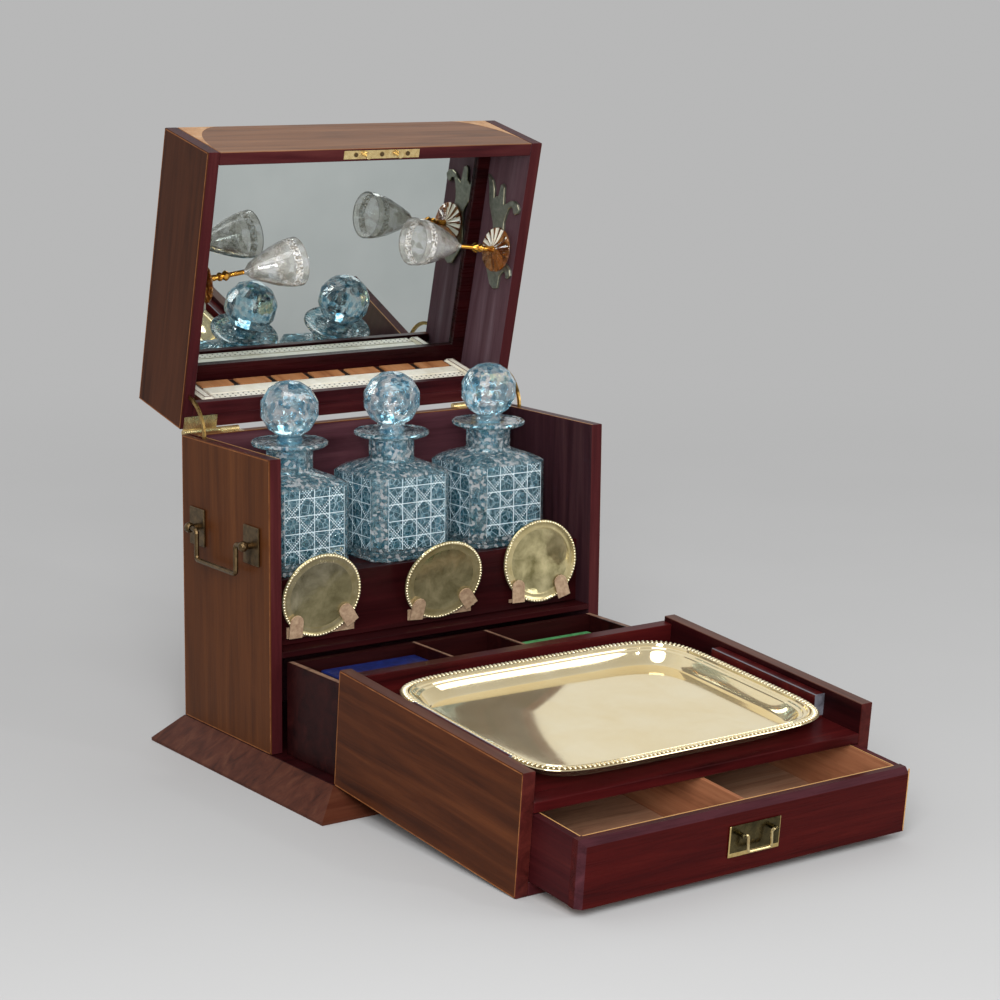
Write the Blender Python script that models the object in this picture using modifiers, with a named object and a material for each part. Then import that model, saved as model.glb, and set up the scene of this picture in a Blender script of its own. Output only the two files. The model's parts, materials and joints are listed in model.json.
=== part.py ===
# Decanter box: a travelling drinks case with a hinged lid, a deep fall-down front, two drawers,
# three decanters with stoppers, coasters, a serving tray, glasses and a cribbage board.
# Metres, +Z up. The origin is the middle of the base board's underside, the fall opens towards -Y.
# Every piece is modelled where it sits in the closed box, and the empties carry it to the open pose.
import bpy
import bmesh
import math
from mathutils import Matrix, Vector

# Case
case_width = 0.412
case_depth = 0.295
case_side_height = 0.300
wall = 0.0135
base_thickness = 0.025
plinth_reach = 0.034
plinth_back_reach = 0.012
plinth_lip = 0.003
gap = 0.0003
arris = 0.0006
overrun = 0.004
sharp_edge_degrees = 30.0

# Shelf, panel and dust board inside the case
ledge_depth = 0.023
panel_thickness = 0.006
panel_lip = 0.005
shelf_top_height = 0.192
shelf_thickness = 0.008
dust_board_top_height = 0.129
dust_board_thickness = 0.006

# Fall front
fall_thickness = 0.117
fall_reach = 0.2988
fall_foot_gap = 0.0005
fall_axis_lift = 0.0005
rear_wall_drop = 0.005
platform_top = 0.0875
platform_thickness = 0.010
rest_thickness = 0.012
rest_drop = 0.0055
rest_start = 0.092
rest_end = 0.247

# Fall hinges
fall_hinge_length = 0.050
fall_hinge_inset = 0.032
fall_knuckle_radius = 0.0026
fall_leaf_width = 0.015
leaf_thickness = 0.0016
pin_radius = 0.0011
knuckle_clearance = 0.0004

# Lid
lid_height = 0.092
lid_top_thickness = 0.0115
lid_open_degrees = 77.0
lid_axis_back = 0.0045
frame_stile_width = 0.016
frame_top_width = 0.016
frame_bottom_width = 0.027
frame_thickness = 0.0037
mirror_thickness = 0.006
lip_depth = 0.0145
lip_thickness = 0.008

# Lid hinges and stays
lid_hinge_inset = 0.004
lid_leaf_length = 0.039
case_knuckle_length = 0.026
lid_knuckle_radius = 0.0035
lid_leaf_thickness = 0.0018
stay_radius = 0.040
stay_band = 0.004
stay_thickness = 0.0024
stay_end_degrees = 80.0
stay_slot_gap = 0.0006

# Lock
link_plate_length = 0.093
link_plate_thickness = 0.002
link_spacing = 0.039
link_radius = 0.0026
link_length = 0.006
link_head_radius = 0.0034
link_head_length = 0.0016
lock_slot_length = 0.012
lock_slot_width = 0.0084
lock_pocket_depth = 0.009

# Games drawer
games_depth = 0.108
games_front_gap = 0.0045
games_side = 0.008
games_front_thickness = 0.009
games_bottom_lift = 0.0105
games_bottom_thickness = 0.005
games_partition = 0.005
games_partition_left = -0.040
games_partition_right = 0.050
games_head_room = 0.0025
running_gap = 0.0005

# Cigar drawer
cigar_depth = 0.240
cigar_pull = 0.070
cigar_front_thickness = 0.013
cigar_side = 0.0095
cigar_bottom_lift = 0.002
cigar_bottom_thickness = 0.005
cigar_partition = 0.0045
cigar_front_bevel = 0.0055
cigar_floor_gap = 0.001

# Drawer handle
drawer_plate_width = 0.060
drawer_plate_height = 0.030
drawer_plate_thickness = 0.0016
drawer_plate_bevel = 0.0011
drawer_handle_shift = 0.003
drawer_bail_width = 0.0275
drawer_bail_drop = 0.0155
drawer_bail_rod = 0.0015
drawer_post_spacing = 0.0385
drawer_post_radius = 0.0029
drawer_post_reach = 0.0062
drawer_bail_rise = 0.007

# Carrying handles on the case sides
carry_plate_width = 0.030
carry_plate_height = 0.039
carry_plate_thickness = 0.002
carry_plate_bevel = 0.0013
carry_post_share = 0.62
carry_post_radius = 0.0036
carry_head_radius = 0.0056
carry_reach = 0.0105
carry_pin_length = 0.0144
carry_bail_drop = 0.031
carry_bail_rod = 0.0026
carry_height = 0.234
bail_corner_radius = 0.004

# Decanters and stoppers
decanter_pitch = 0.125
decanter_spacing = 0.027
decanter_corner = 0.0135
decanter_body_height = 0.090
decanter_shoulder = 0.011
decanter_neck_radius = 0.0242
decanter_neck_top = 0.124
decanter_lip_radius = 0.0395
decanter_lip_thickness = 0.007
decanter_wall = 0.0055
decanter_floor = 0.012
decanter_bore = 0.0135
decanter_ring_height = 0.0035
decanter_ring_depth = 0.0012
stopper_radius = 0.030
stopper_waist_radius = 0.014
stopper_waist_height = 0.005
stopper_plug_length = 0.026
stopper_plug_tip_radius = 0.0115

# Coasters and their clips
coaster_side_room = 0.0115
coaster_radius = 0.045
coaster_rim = 0.0036
coaster_sheet = 0.0014
coaster_rise = 0.0062
coaster_shift_shares = (-0.078, 0.133, 0.033)
coaster_lean_degrees = (10.5, 16.5, 0.0)
coaster_turn_degrees = (2.5, 5.0, 5.0)
clip_width = 0.015
clip_height = 0.024
clip_thickness = 0.0012
clip_beyond = 0.005
clip_arm_share = 0.4
clip_place_degrees = ((-33.0, 49.0), (-33.0, 49.0), (-34.0, 36.0))
clip_tilt_degrees = ((0.0, 34.0), (-4.0, 36.0), (0.0, 17.0))

# Serving tray
tray_length = 0.352
tray_width = 0.270
tray_height = 0.0195
tray_sheet = 0.0014
tray_power = 6.5
tray_points = 96
tray_border = 0.0245
tray_middle = 0.157

# Liqueur glasses and their brackets
glass_height = 0.114
glass_foot_radius = 0.0245
glass_foot_thickness = 0.0016
glass_stem_radius = 0.0026
glass_rim_radius = 0.0262
# Each pair is a share of the rim's radius and a share of the glass's height, down the inside and down the outside
glass_inner_shares = ((0.24, 0.525), (0.62, 0.72), (0.87, 0.87))
glass_outer_shares = ((0.93, 0.86), (0.70, 0.70), (0.34, 0.52))
glass_stem_shares = ((1.0, 0.45), (1.0, 0.285), (2.1, 0.25), (1.0, 0.22), (1.7, 0.19), (1.0, 0.165), (1.3, 0.10))
glass_wall = 0.0018
glass_depth_in_lid = 0.026
glass_wall_gap = 0.0045
glass_tilt_degrees = 7.5
right_glass_from_front = 0.128
left_glass_from_front = 0.143
bracket_from_front = 0.112
bracket_height = 0.104
bracket_width = 0.056
bracket_thickness = 0.0038
bracket_finger_thickness = 0.0018
bracket_finger_width = 0.006
bracket_finger_reach = 0.011

# Cribbage board
crib_length = 0.352
crib_near = 0.009
crib_width = 0.056
crib_thickness = 0.0105
crib_strip_width = 0.0135
crib_strip_thickness = 0.002
crib_end_width = 0.015

# Card packs
pack_length = 0.092
pack_height = 0.066
pack_depth = 0.020
pack_edge = 0.0012
deep_pack_length = 0.113
deep_pack_height = 0.069
deep_pack_depth = 0.060
left_pack_middle = -0.1015
right_pack_middle = 0.125
pack_from_back = 0.012
deep_pack_from_back = 0.003

# Places worked out from the sizes above
half_width = case_width / 2
inner_half = half_width - wall
front = -case_depth / 2
back = case_depth / 2
case_top = base_thickness + case_side_height
main_front = front + fall_thickness + gap * 3
back_inner = back - wall
panel_front = main_front + ledge_depth
shelf_front = panel_front + panel_thickness + gap
row_middle = (shelf_front + back_inner) / 2
decanter_width = min(decanter_pitch, back_inner - shelf_front) - decanter_spacing
coaster_pitch = inner_half - coaster_radius - coaster_side_room
carry_post_spacing = (back - main_front) * carry_post_share
fall_axis = Vector((0, front, base_thickness + fall_axis_lift))
fall_droop = math.asin(fall_axis.z / fall_reach)
fall_open = math.pi / 2 + fall_droop
fall_start = fall_axis.z + fall_foot_gap
fall_end = fall_axis.z + fall_reach
rim = case_top + gap
lid_axis = Vector((0, back + lid_axis_back, case_top + gap / 2))
lid_open = math.radians(lid_open_degrees)
lid_wall_top = rim + lid_height - lid_top_thickness - gap
platform_under = platform_top - platform_thickness

# Start from an empty scene
for old in list(bpy.data.objects):
    bpy.data.objects.remove(old, do_unlink=True)
box_collection = bpy.data.collections.new("decanter_box")
bpy.context.scene.collection.children.link(box_collection)


def finish(name, colour, roughness, metallic=0.0, clear=0.0):
    material = bpy.data.materials.new(name)
    material.use_nodes = True
    shader = material.node_tree.nodes["Principled BSDF"]
    shader.inputs["Base Color"].default_value = (*colour, 1)
    shader.inputs["Roughness"].default_value = roughness
    shader.inputs["Metallic"].default_value = metallic
    shader.inputs["Transmission Weight"].default_value = clear
    material.diffuse_color = (*colour, 1)
    return material


veneer_brown = finish("mahogany veneer", (0.115, 0.040, 0.018), 0.35)
inner_red = finish("polished red mahogany", (0.060, 0.012, 0.012), 0.30)
cedar = finish("cedar lining", (0.210, 0.085, 0.045), 0.60)
aged_brass = finish("aged brass", (0.420, 0.310, 0.150), 0.35, 1.0)
bright_gilt = finish("gilt metal", (0.850, 0.640, 0.280), 0.15, 1.0)
clip_brass = finish("worn brass strip", (0.560, 0.390, 0.250), 0.50, 0.6)
crystal = finish("cut lead glass", (0.930, 0.970, 1.000), 0.02, 0.0, 0.9)
mirror_silver = finish("silvered mirror", (0.800, 0.820, 0.820), 0.02, 1.0)
bone = finish("polished bone", (0.800, 0.760, 0.650), 0.40)
blue_card = finish("blue card box", (0.020, 0.060, 0.300), 0.50)
green_card = finish("green card box", (0.030, 0.260, 0.080), 0.50)


def empty(name, at, parent=None, turn=0.0, slide=(0, 0, 0)):
    # An empty stands on a joint's axis, and remembers where it is in the closed box.
    holder = bpy.data.objects.new(name, None)
    box_collection.objects.link(holder)
    start = Vector(parent["closed_at"]) if parent else Vector()
    holder.parent = parent
    holder.location = Vector(at) - start + Vector(slide)
    holder.rotation_euler = (turn, 0, 0)
    holder["closed_at"] = tuple(at)
    return holder


def mesh_from(bm, name="shape"):
    bmesh.ops.recalc_face_normals(bm, faces=bm.faces)
    mesh = bpy.data.meshes.new(name)
    bm.to_mesh(mesh)
    bm.free()
    return mesh


def evaluated(thing):
    # The finished mesh of a working object, which is then removed.
    bpy.context.view_layer.update()
    graph = bpy.context.evaluated_depsgraph_get()
    mesh = bpy.data.meshes.new_from_object(thing.evaluated_get(graph))
    mesh.transform(thing.matrix_world)
    bpy.data.objects.remove(thing, do_unlink=True)
    bm = bmesh.new()
    bm.from_mesh(mesh)
    bmesh.ops.remove_doubles(bm, verts=bm.verts, dist=gap / 30)
    bm.to_mesh(mesh)
    bm.free()
    return mesh


def working_object(data):
    thing = bpy.data.objects.new("working", data)
    box_collection.objects.link(thing)
    return thing


def block(low, high, edge=arris):
    bm = bmesh.new()
    size = Vector(high) - Vector(low)
    middle = (Vector(high) + Vector(low)) / 2
    bmesh.ops.create_cube(bm, size=1.0)
    bmesh.ops.scale(bm, vec=size, verts=bm.verts)
    bmesh.ops.translate(bm, vec=middle, verts=bm.verts)
    if edge:
        bmesh.ops.bevel(bm, geom=bm.edges[:], offset=edge, segments=1, affect="EDGES")
    return mesh_from(bm)


def rod(start, end, radius, steps=16):
    # A cylinder between two points.
    bm = bmesh.new()
    along = Vector(end) - Vector(start)
    bmesh.ops.create_cone(bm, cap_ends=True, segments=steps, radius1=radius, radius2=radius,
                          depth=along.length)
    turn = along.to_track_quat("Z", "Y").to_matrix().to_4x4()
    bmesh.ops.transform(bm, matrix=turn, verts=bm.verts)
    bmesh.ops.translate(bm, vec=(Vector(start) + Vector(end)) / 2, verts=bm.verts)
    return mesh_from(bm)


def ball(centre, radius, detail=2):
    bm = bmesh.new()
    bmesh.ops.create_icosphere(bm, subdivisions=detail, radius=radius)
    bmesh.ops.translate(bm, vec=centre, verts=bm.verts)
    return mesh_from(bm)


def turned(profile, steps):
    # A profile of (radius, height) points, outer side top to bottom, spun round Z.
    mesh = bpy.data.meshes.new("profile")
    points = [(radius, 0, height) for radius, height in profile]
    mesh.from_pydata(points, [(i, i + 1) for i in range(len(points) - 1)], [])
    thing = working_object(mesh)
    screw = thing.modifiers.new("spin", "SCREW")
    screw.steps = steps
    screw.render_steps = steps
    screw.use_merge_vertices = True
    screw.merge_threshold = gap / 30
    return evaluated(thing)


def outline(points, thickness, across):
    # A flat outline with thickness. Its two axes are YZ when across is "X", XZ when it is "Y".
    curve = bpy.data.curves.new("outline", "CURVE")
    curve.dimensions = "2D"
    curve.fill_mode = "BOTH"
    curve.extrude = thickness / 2
    line = curve.splines.new("POLY")
    line.points.add(len(points) - 1)
    for point, (u, v) in zip(line.points, points):
        point.co = (u, v, 0, 1)
    line.use_cyclic_u = True
    mesh = evaluated(working_object(curve))
    if across == "X":
        mesh.transform(Matrix(((0, 0, 1, 0), (1, 0, 0, 0), (0, 1, 0, 0), (0, 0, 0, 1))))
    if across == "Y":
        mesh.transform(Matrix(((1, 0, 0, 0), (0, 0, -1, 0), (0, 1, 0, 0), (0, 0, 0, 1))))
    return mesh


def tube(points, radius, sides=2):
    # A rod bent along a line of points, with closed ends.
    curve = bpy.data.curves.new("tube", "CURVE")
    curve.dimensions = "3D"
    curve.bevel_depth = radius
    curve.bevel_resolution = sides
    curve.use_fill_caps = True
    line = curve.splines.new("POLY")
    line.points.add(len(points) - 1)
    for point, place in zip(line.points, points):
        point.co = (*place, 1)
    return evaluated(working_object(curve))


def combined(first, *steps):
    # Boolean steps, each (operation, mesh), on the first mesh.
    thing = working_object(first)
    helpers = []
    for operation, other in steps:
        helper = working_object(other)
        helpers.append(helper)
        cut = thing.modifiers.new(operation.lower(), "BOOLEAN")
        cut.operation = operation
        cut.solver = "EXACT"
        cut.object = helper
    mesh = evaluated(thing)
    for helper in helpers:
        bpy.data.objects.remove(helper, do_unlink=True)
    return mesh


def mirrored(mesh):
    # The same shape on the other side of the plane X = 0, with its faces turned out again.
    other = mesh.copy()
    other.transform(Matrix.Scale(-1, 4, (1, 0, 0)))
    other.flip_normals()
    return other


def gathered(*meshes):
    # Several solids in one mesh, each still a body of its own.
    bm = bmesh.new()
    for mesh in meshes:
        bm.from_mesh(mesh)
    result = bpy.data.meshes.new("group")
    bm.to_mesh(result)
    bm.free()
    return result


def both_sides(mesh):
    return gathered(mesh, mirrored(mesh))


def moved(mesh, vector):
    copy = mesh.copy()
    copy.transform(Matrix.Translation(vector))
    return copy


def piece(name, mesh, material, parent=None, origin=None):
    # Names a mesh made in closed-box coordinates, and hangs it on its empty.
    points = [vertex.co for vertex in mesh.vertices]
    low = Vector([min(point[i] for point in points) for i in range(3)])
    high = Vector([max(point[i] for point in points) for i in range(3)])
    centre = Vector(origin) if origin else (low + high) / 2
    mesh = mesh.copy()
    mesh.transform(Matrix.Translation(-centre))
    mesh.name = name
    mesh.materials.clear()
    mesh.materials.append(material)
    mesh.shade_smooth()
    mesh.set_sharp_from_angle(angle=math.radians(sharp_edge_degrees))
    thing = bpy.data.objects.new(name, mesh)
    box_collection.objects.link(thing)
    start = Vector(parent["closed_at"]) if parent else Vector()
    thing.parent = parent
    thing.location = centre - start
    return thing


def rounded_u(width, drop, pin_out, corner, steps=3):
    # A bail seen square on: (across, up) points from one pin end round to the other.
    half = width / 2
    points = [(-half - pin_out, 0), (-half - corner, 0)]
    sweeps = [(90, 0), (180, 270), (270, 360), (180, 90)]
    centres = [(-half - corner, -corner), (-half + corner, -drop + corner),
               (half - corner, -drop + corner), (half + corner, -corner)]
    for (start, end), (across, up) in zip(sweeps, centres):
        for step in range(steps + 1):
            angle = math.radians(start + (end - start) * step / steps)
            points.append((across + corner * math.cos(angle), up + corner * math.sin(angle)))
    points.append((half + pin_out, 0))
    return points


def ring(reach, height, corner=None):
    # One level of a decanter: a square with cut corners, or a circle when no corner is given.
    points = []
    cut = math.atan2(decanter_width / 2 - decanter_corner, decanter_width / 2)
    for quarter in range(4):
        for angle in (0, cut / 2, cut, math.pi / 2 - cut, math.pi / 2 - cut / 2):
            along = math.cos(angle)
            aside = math.sin(angle)
            distance = reach
            if corner is not None:
                distance = min(reach / max(along, aside), (reach * 2 - corner) / (along + aside))
            turn = angle + quarter * math.pi / 2
            points.append(Vector((distance * math.cos(turn), distance * math.sin(turn), height)))
    return points


def lofted(rings):
    # A closed body through rings that all have the same number of points.
    bm = bmesh.new()
    levels = [[bm.verts.new(point) for point in level] for level in rings]
    count = len(rings[0])
    for lower, upper in zip(levels, levels[1:]):
        for i in range(count):
            bm.faces.new((lower[i], lower[(i + 1) % count], upper[(i + 1) % count], upper[i]))
    bm.faces.new(list(reversed(levels[0])))
    bm.faces.new(levels[-1])
    return mesh_from(bm)


def pair(name, mesh, material, parent=None):
    # The same piece at the right and the left of the box.
    piece(name + "_right", mesh, material, parent)
    piece(name + "_left", mirrored(mesh), material, parent)


def united(first, *others):
    return combined(first, *[("UNION", other) for other in others])


def board(name, x, y, z, material, parent=None, edge=arris):
    return piece(name, block((x[0], y[0], z[0]), (x[1], y[1], z[1]), edge), material, parent)


# Hinge places shared by the pieces they are let into
fall_hinge_outer = half_width - fall_hinge_inset
fall_hinge_inner = fall_hinge_outer - fall_hinge_length
lid_hinge_outer = half_width - lid_hinge_inset
lid_hinge_middle = lid_hinge_outer - lid_leaf_length
lid_hinge_inner = lid_hinge_middle - gap - case_knuckle_length
knuckle_bed = fall_knuckle_radius + knuckle_clearance


def knuckle_cut():
    start = (fall_hinge_inner - knuckle_clearance, fall_axis.y, fall_axis.z)
    end = (fall_hinge_outer + knuckle_clearance, fall_axis.y, fall_axis.z)
    return both_sides(rod(start, end, knuckle_bed))


def leaf_bed(x, y, z):
    # The shallow bed a hinge leaf lies in, on both sides of the box.
    return both_sides(block((x[0] - gap, y[0] - gap, z[0] - gap), (x[1] + gap, y[1] + gap, z[1] + gap), 0))


# Base and plinth
base_leaf_x = (fall_hinge_inner, fall_hinge_outer)
base_leaf_y = (front, front + fall_leaf_width)
base_leaf_z = (base_thickness - leaf_thickness, base_thickness)
base = combined(
    block((-half_width, front, 0), (half_width, back, base_thickness)),
    ("DIFFERENCE", knuckle_cut()),
    ("DIFFERENCE", leaf_bed(base_leaf_x, base_leaf_y, base_leaf_z)))
piece("base_board", base, inner_red)


def level_rectangle(reach, back_reach, height):
    half = half_width + reach
    return [Vector((-half, front - reach, height)), Vector((half, front - reach, height)),
            Vector((half, back + back_reach, height)), Vector((-half, back + back_reach, height))]


skirt = lofted([
    level_rectangle(plinth_reach, plinth_back_reach, 0),
    level_rectangle(plinth_reach, plinth_back_reach, plinth_lip),
    level_rectangle(arris + gap, arris + gap, base_thickness)])
plinth_hole = block((-half_width - gap, front - gap, -overrun),
                    (half_width + gap, back + gap, base_thickness + overrun), 0)
skirt = combined(skirt, ("DIFFERENCE", plinth_hole), ("DIFFERENCE", knuckle_cut()))
piece("plinth_moulding", skirt, veneer_brown)

# Case walls, shelf and panels
side_foot = base_thickness + gap
stay_middle = half_width - wall / 2
slot_half = stay_thickness / 2 + stay_slot_gap
stay_inside = stay_radius - stay_band / 2
stay_outside = stay_radius + stay_band / 2
stay_end = math.radians(stay_end_degrees)
mortise = block(
    (stay_middle - slot_half, lid_axis.y - stay_outside - stay_slot_gap, lid_axis.z - stay_outside - stay_slot_gap),
    (stay_middle + slot_half, lid_axis.y - stay_inside * math.cos(stay_end) + stay_slot_gap, case_top + overrun), 0)
side = combined(
    block((inner_half, main_front, side_foot), (half_width, back, case_top)),
    ("DIFFERENCE", mortise))
piece("side_right", side, veneer_brown)
piece("side_left", mirrored(side), veneer_brown)

between = inner_half - gap
case_leaf_x = (lid_hinge_inner, lid_hinge_middle - gap)
case_leaf_y = (back - wall + arris, lid_axis.y)
case_leaf_z = (case_top - lid_leaf_thickness, case_top)
back_board = combined(
    block((-between, back_inner, side_foot), (between, back, case_top)),
    ("DIFFERENCE", leaf_bed(case_leaf_x, case_leaf_y, case_leaf_z)))
piece("back_panel", back_board, veneer_brown)
board("dust_board", (-between, between), (main_front, back_inner - gap),
      (dust_board_top_height - dust_board_thickness, dust_board_top_height), inner_red)
panel_top = shelf_top_height + panel_lip
shelf = block((-between, panel_front + gap, shelf_top_height - shelf_thickness),
              (between, back_inner - gap, shelf_top_height))
upright = block((-between, panel_front, dust_board_top_height + gap),
                (between, panel_front + panel_thickness, panel_top))
piece("decanter_shelf", united(upright, shelf), inner_red)

# Coasters stand in bent clips on the panel, each at its own lean and turn
clip_plate_front = panel_front - gap - clip_thickness
coaster_profile = [
    (0, coaster_sheet), (coaster_radius - coaster_rim * 2, coaster_sheet),
    (coaster_radius - coaster_rim, coaster_rim), (coaster_radius - coaster_sheet / 2, coaster_rim),
    (coaster_radius, coaster_rim - coaster_sheet / 2), (coaster_radius, coaster_sheet / 2),
    (coaster_radius - coaster_sheet, 0), (0, 0)]
coaster = turned(coaster_profile, 36)
clip_half = clip_width / 2
clip_tip_steps = 6
clip_shape = [(-clip_half, -clip_thickness / 2), (clip_half, -clip_thickness / 2)]
for step in range(clip_tip_steps + 1):
    angle = math.pi * step / clip_tip_steps
    clip_shape.append((clip_half * math.cos(angle), clip_height - clip_half + clip_half * math.sin(angle)))
for order, side_name in enumerate(("left", "middle", "right")):
    lean = math.radians(coaster_lean_degrees[order])
    turn = math.radians(coaster_turn_degrees[order])
    facing = Matrix.Rotation(-turn, 4, "Z") @ Matrix.Rotation(math.pi / 2 + lean, 4, "X")
    behind = coaster_radius * math.sqrt(1 - (math.cos(lean) * math.cos(turn)) ** 2)
    place = Vector(((order - 1) * coaster_pitch + coaster_radius * coaster_shift_shares[order],
                    clip_plate_front - gap - behind,
                    dust_board_top_height + coaster_rise + coaster_radius * math.cos(lean)))
    standing = Matrix.Translation(place) @ facing
    disc = coaster.copy()
    disc.transform(standing)
    piece("coaster_" + side_name, disc, bright_gilt, origin=place)

    strips = []
    arms = []
    feet = []
    for at, tilt in zip(clip_place_degrees[order], clip_tilt_degrees[order]):
        foot_reach = coaster_radius + clip_beyond
        foot = Vector((foot_reach * math.sin(math.radians(at)), -foot_reach * math.cos(math.radians(at)),
                       coaster_rim + gap + clip_thickness / 2))
        strip = outline(clip_shape, clip_thickness, "Z")
        strip.transform(standing @ Matrix.Translation(foot) @ Matrix.Rotation(math.radians(tilt), 4, "Z"))
        strips.append(strip)
        foot = standing @ foot
        arm_half = clip_half * clip_arm_share
        arms.append(block((foot.x - arm_half, foot.y, foot.z - clip_thickness / 2),
                          (foot.x + arm_half, panel_front - gap * 2, foot.z + clip_thickness / 2), 0))
        feet.append(foot)
    low_z = min(foot.z for foot in feet) - clip_thickness
    high_z = max(foot.z for foot in feet) + clip_thickness
    plate = block((min(foot.x for foot in feet) - clip_half, clip_plate_front, low_z),
                  (max(foot.x for foot in feet) + clip_half, panel_front - gap, high_z), 0)
    piece("coaster_clips_" + side_name, united(plate, *arms, *strips), clip_brass)

# Hinge leaves fixed to the case
leaf = block((case_leaf_x[0], case_leaf_y[0], case_leaf_z[0]), (case_leaf_x[1], case_leaf_y[1], case_leaf_z[1]), 0)
barrel = rod((case_leaf_x[0], lid_axis.y, lid_axis.z), (case_leaf_x[1], lid_axis.y, lid_axis.z), lid_knuckle_radius)
pin = rod((case_leaf_x[0] + gap, lid_axis.y, lid_axis.z), (lid_hinge_outer, lid_axis.y, lid_axis.z), pin_radius)
pair("lid_hinge_case_leaf", united(leaf, barrel, pin), aged_brass)

knuckle_length = fall_hinge_length / 2
fixed_leaf = combined(
    block((base_leaf_x[0], base_leaf_y[0], base_leaf_z[0]), (base_leaf_x[1], base_leaf_y[1], base_leaf_z[1]), 0),
    ("DIFFERENCE", block((fall_hinge_inner + knuckle_length - gap / 2, front - overrun, 0),
                         (half_width, front + knuckle_bed, base_thickness + overrun), 0)),
    ("UNION", rod((fall_hinge_inner, fall_axis.y, fall_axis.z),
                  (fall_hinge_inner + knuckle_length - gap / 2, fall_axis.y, fall_axis.z), fall_knuckle_radius)),
    ("UNION", rod((fall_hinge_inner + gap, fall_axis.y, fall_axis.z),
                  (fall_hinge_outer - gap, fall_axis.y, fall_axis.z), pin_radius)))
pair("fall_hinge_case_leaf", fixed_leaf, aged_brass)

# Carrying handles on the case sides
carry_y = (main_front + back) / 2
plate_x = half_width + gap
bail_x = plate_x + carry_reach
for sign, end_name in ((-1, "front"), (1, "back")):
    y = carry_y + sign * carry_post_spacing / 2
    plate = block((plate_x, y - carry_plate_width / 2, carry_height - carry_plate_height / 2),
                  (plate_x + carry_plate_thickness, y + carry_plate_width / 2,
                   carry_height + carry_plate_height / 2), carry_plate_thickness / 4)
    post = rod((plate_x + gap, y, carry_height), (bail_x, y, carry_height), carry_post_radius)
    knob = ball((bail_x, y, carry_height), carry_head_radius)
    hole = rod((bail_x, y, carry_height), (bail_x, y - sign * carry_head_radius * 2, carry_height),
               carry_bail_rod + gap * 2, 12)
    pair("carry_plate_" + end_name, combined(united(plate, post, knob), ("DIFFERENCE", hole)), aged_brass)
carry_bail_width = carry_post_spacing - (carry_pin_length + gap * 2) * 2
carry_line = rounded_u(carry_bail_width, carry_bail_drop, carry_pin_length, bail_corner_radius)
for sign, name in ((1, "bail_right"), (-1, "bail_left")):
    line = [(sign * bail_x, carry_y + across, carry_height + up) for across, up in carry_line]
    piece(name, tube(line, carry_bail_rod), aged_brass, origin=(sign * bail_x, carry_y, carry_height))

# Decanters and stoppers
decanter_base = shelf_top_height + gap
neck_start = decanter_body_height + decanter_shoulder
half = decanter_width / 2
inner_reach = half - decanter_wall
inner_corner = decanter_corner - decanter_wall / 2
step_out = decanter_ring_depth
level = decanter_ring_height
decanter_rings = [
    ring(half - step_out, 0, decanter_corner), ring(half, step_out, decanter_corner),
    ring(half, level, decanter_corner), ring(half - step_out, level + step_out, decanter_corner),
    ring(half, level + step_out * 2, decanter_corner), ring(half, level * 2 + step_out * 2, decanter_corner),
    ring(half - step_out, level * 2 + step_out * 3, decanter_corner),
    ring(half, level * 2 + step_out * 4, decanter_corner),
    ring(half, decanter_body_height - step_out, decanter_corner),
    ring(half - step_out * 2, decanter_body_height, decanter_corner),
    ring(decanter_neck_radius + step_out * 2, neck_start - step_out), ring(decanter_neck_radius, neck_start),
    ring(decanter_neck_radius, decanter_neck_top - step_out * 2),
    ring(decanter_neck_radius + step_out * 2, decanter_neck_top),
    ring(decanter_lip_radius - step_out, decanter_neck_top), ring(decanter_lip_radius, decanter_neck_top + step_out),
    ring(decanter_lip_radius, decanter_neck_top + decanter_lip_thickness - step_out),
    ring(decanter_lip_radius - step_out, decanter_neck_top + decanter_lip_thickness),
    ring(decanter_bore, decanter_neck_top + decanter_lip_thickness),
    ring(decanter_bore, neck_start), ring(inner_reach, decanter_body_height - decanter_wall, inner_corner),
    ring(inner_reach, decanter_floor + step_out, inner_corner),
    ring(inner_reach - step_out, decanter_floor, inner_corner)]
decanter = lofted(decanter_rings)
stopper_low = decanter_neck_top + decanter_lip_thickness + gap
ball_middle = stopper_low + stopper_waist_height / 2 + stopper_radius
stopper_profile = []
ball_steps = 14
for step in range(ball_steps):
    angle = math.pi * 0.86 * step / (ball_steps - 1)
    stopper_profile.append((stopper_radius * math.sin(angle), ball_middle + stopper_radius * math.cos(angle)))
stopper_profile += [
    (stopper_waist_radius, stopper_low + stopper_waist_height / 2), (stopper_waist_radius, stopper_low),
    (decanter_bore - gap * 2, stopper_low), (stopper_plug_tip_radius, stopper_low - stopper_plug_length),
    (0, stopper_low - stopper_plug_length)]
stopper = turned(stopper_profile, 24)
for order, side_name in enumerate(("left", "middle", "right")):
    place = Vector(((order - 1) * decanter_pitch, row_middle, decanter_base))
    piece("decanter_" + side_name, moved(decanter, place), crystal, origin=place)
    piece("stopper_" + side_name, moved(stopper, place), crystal, origin=place + Vector((0, 0, stopper_low)))

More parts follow.
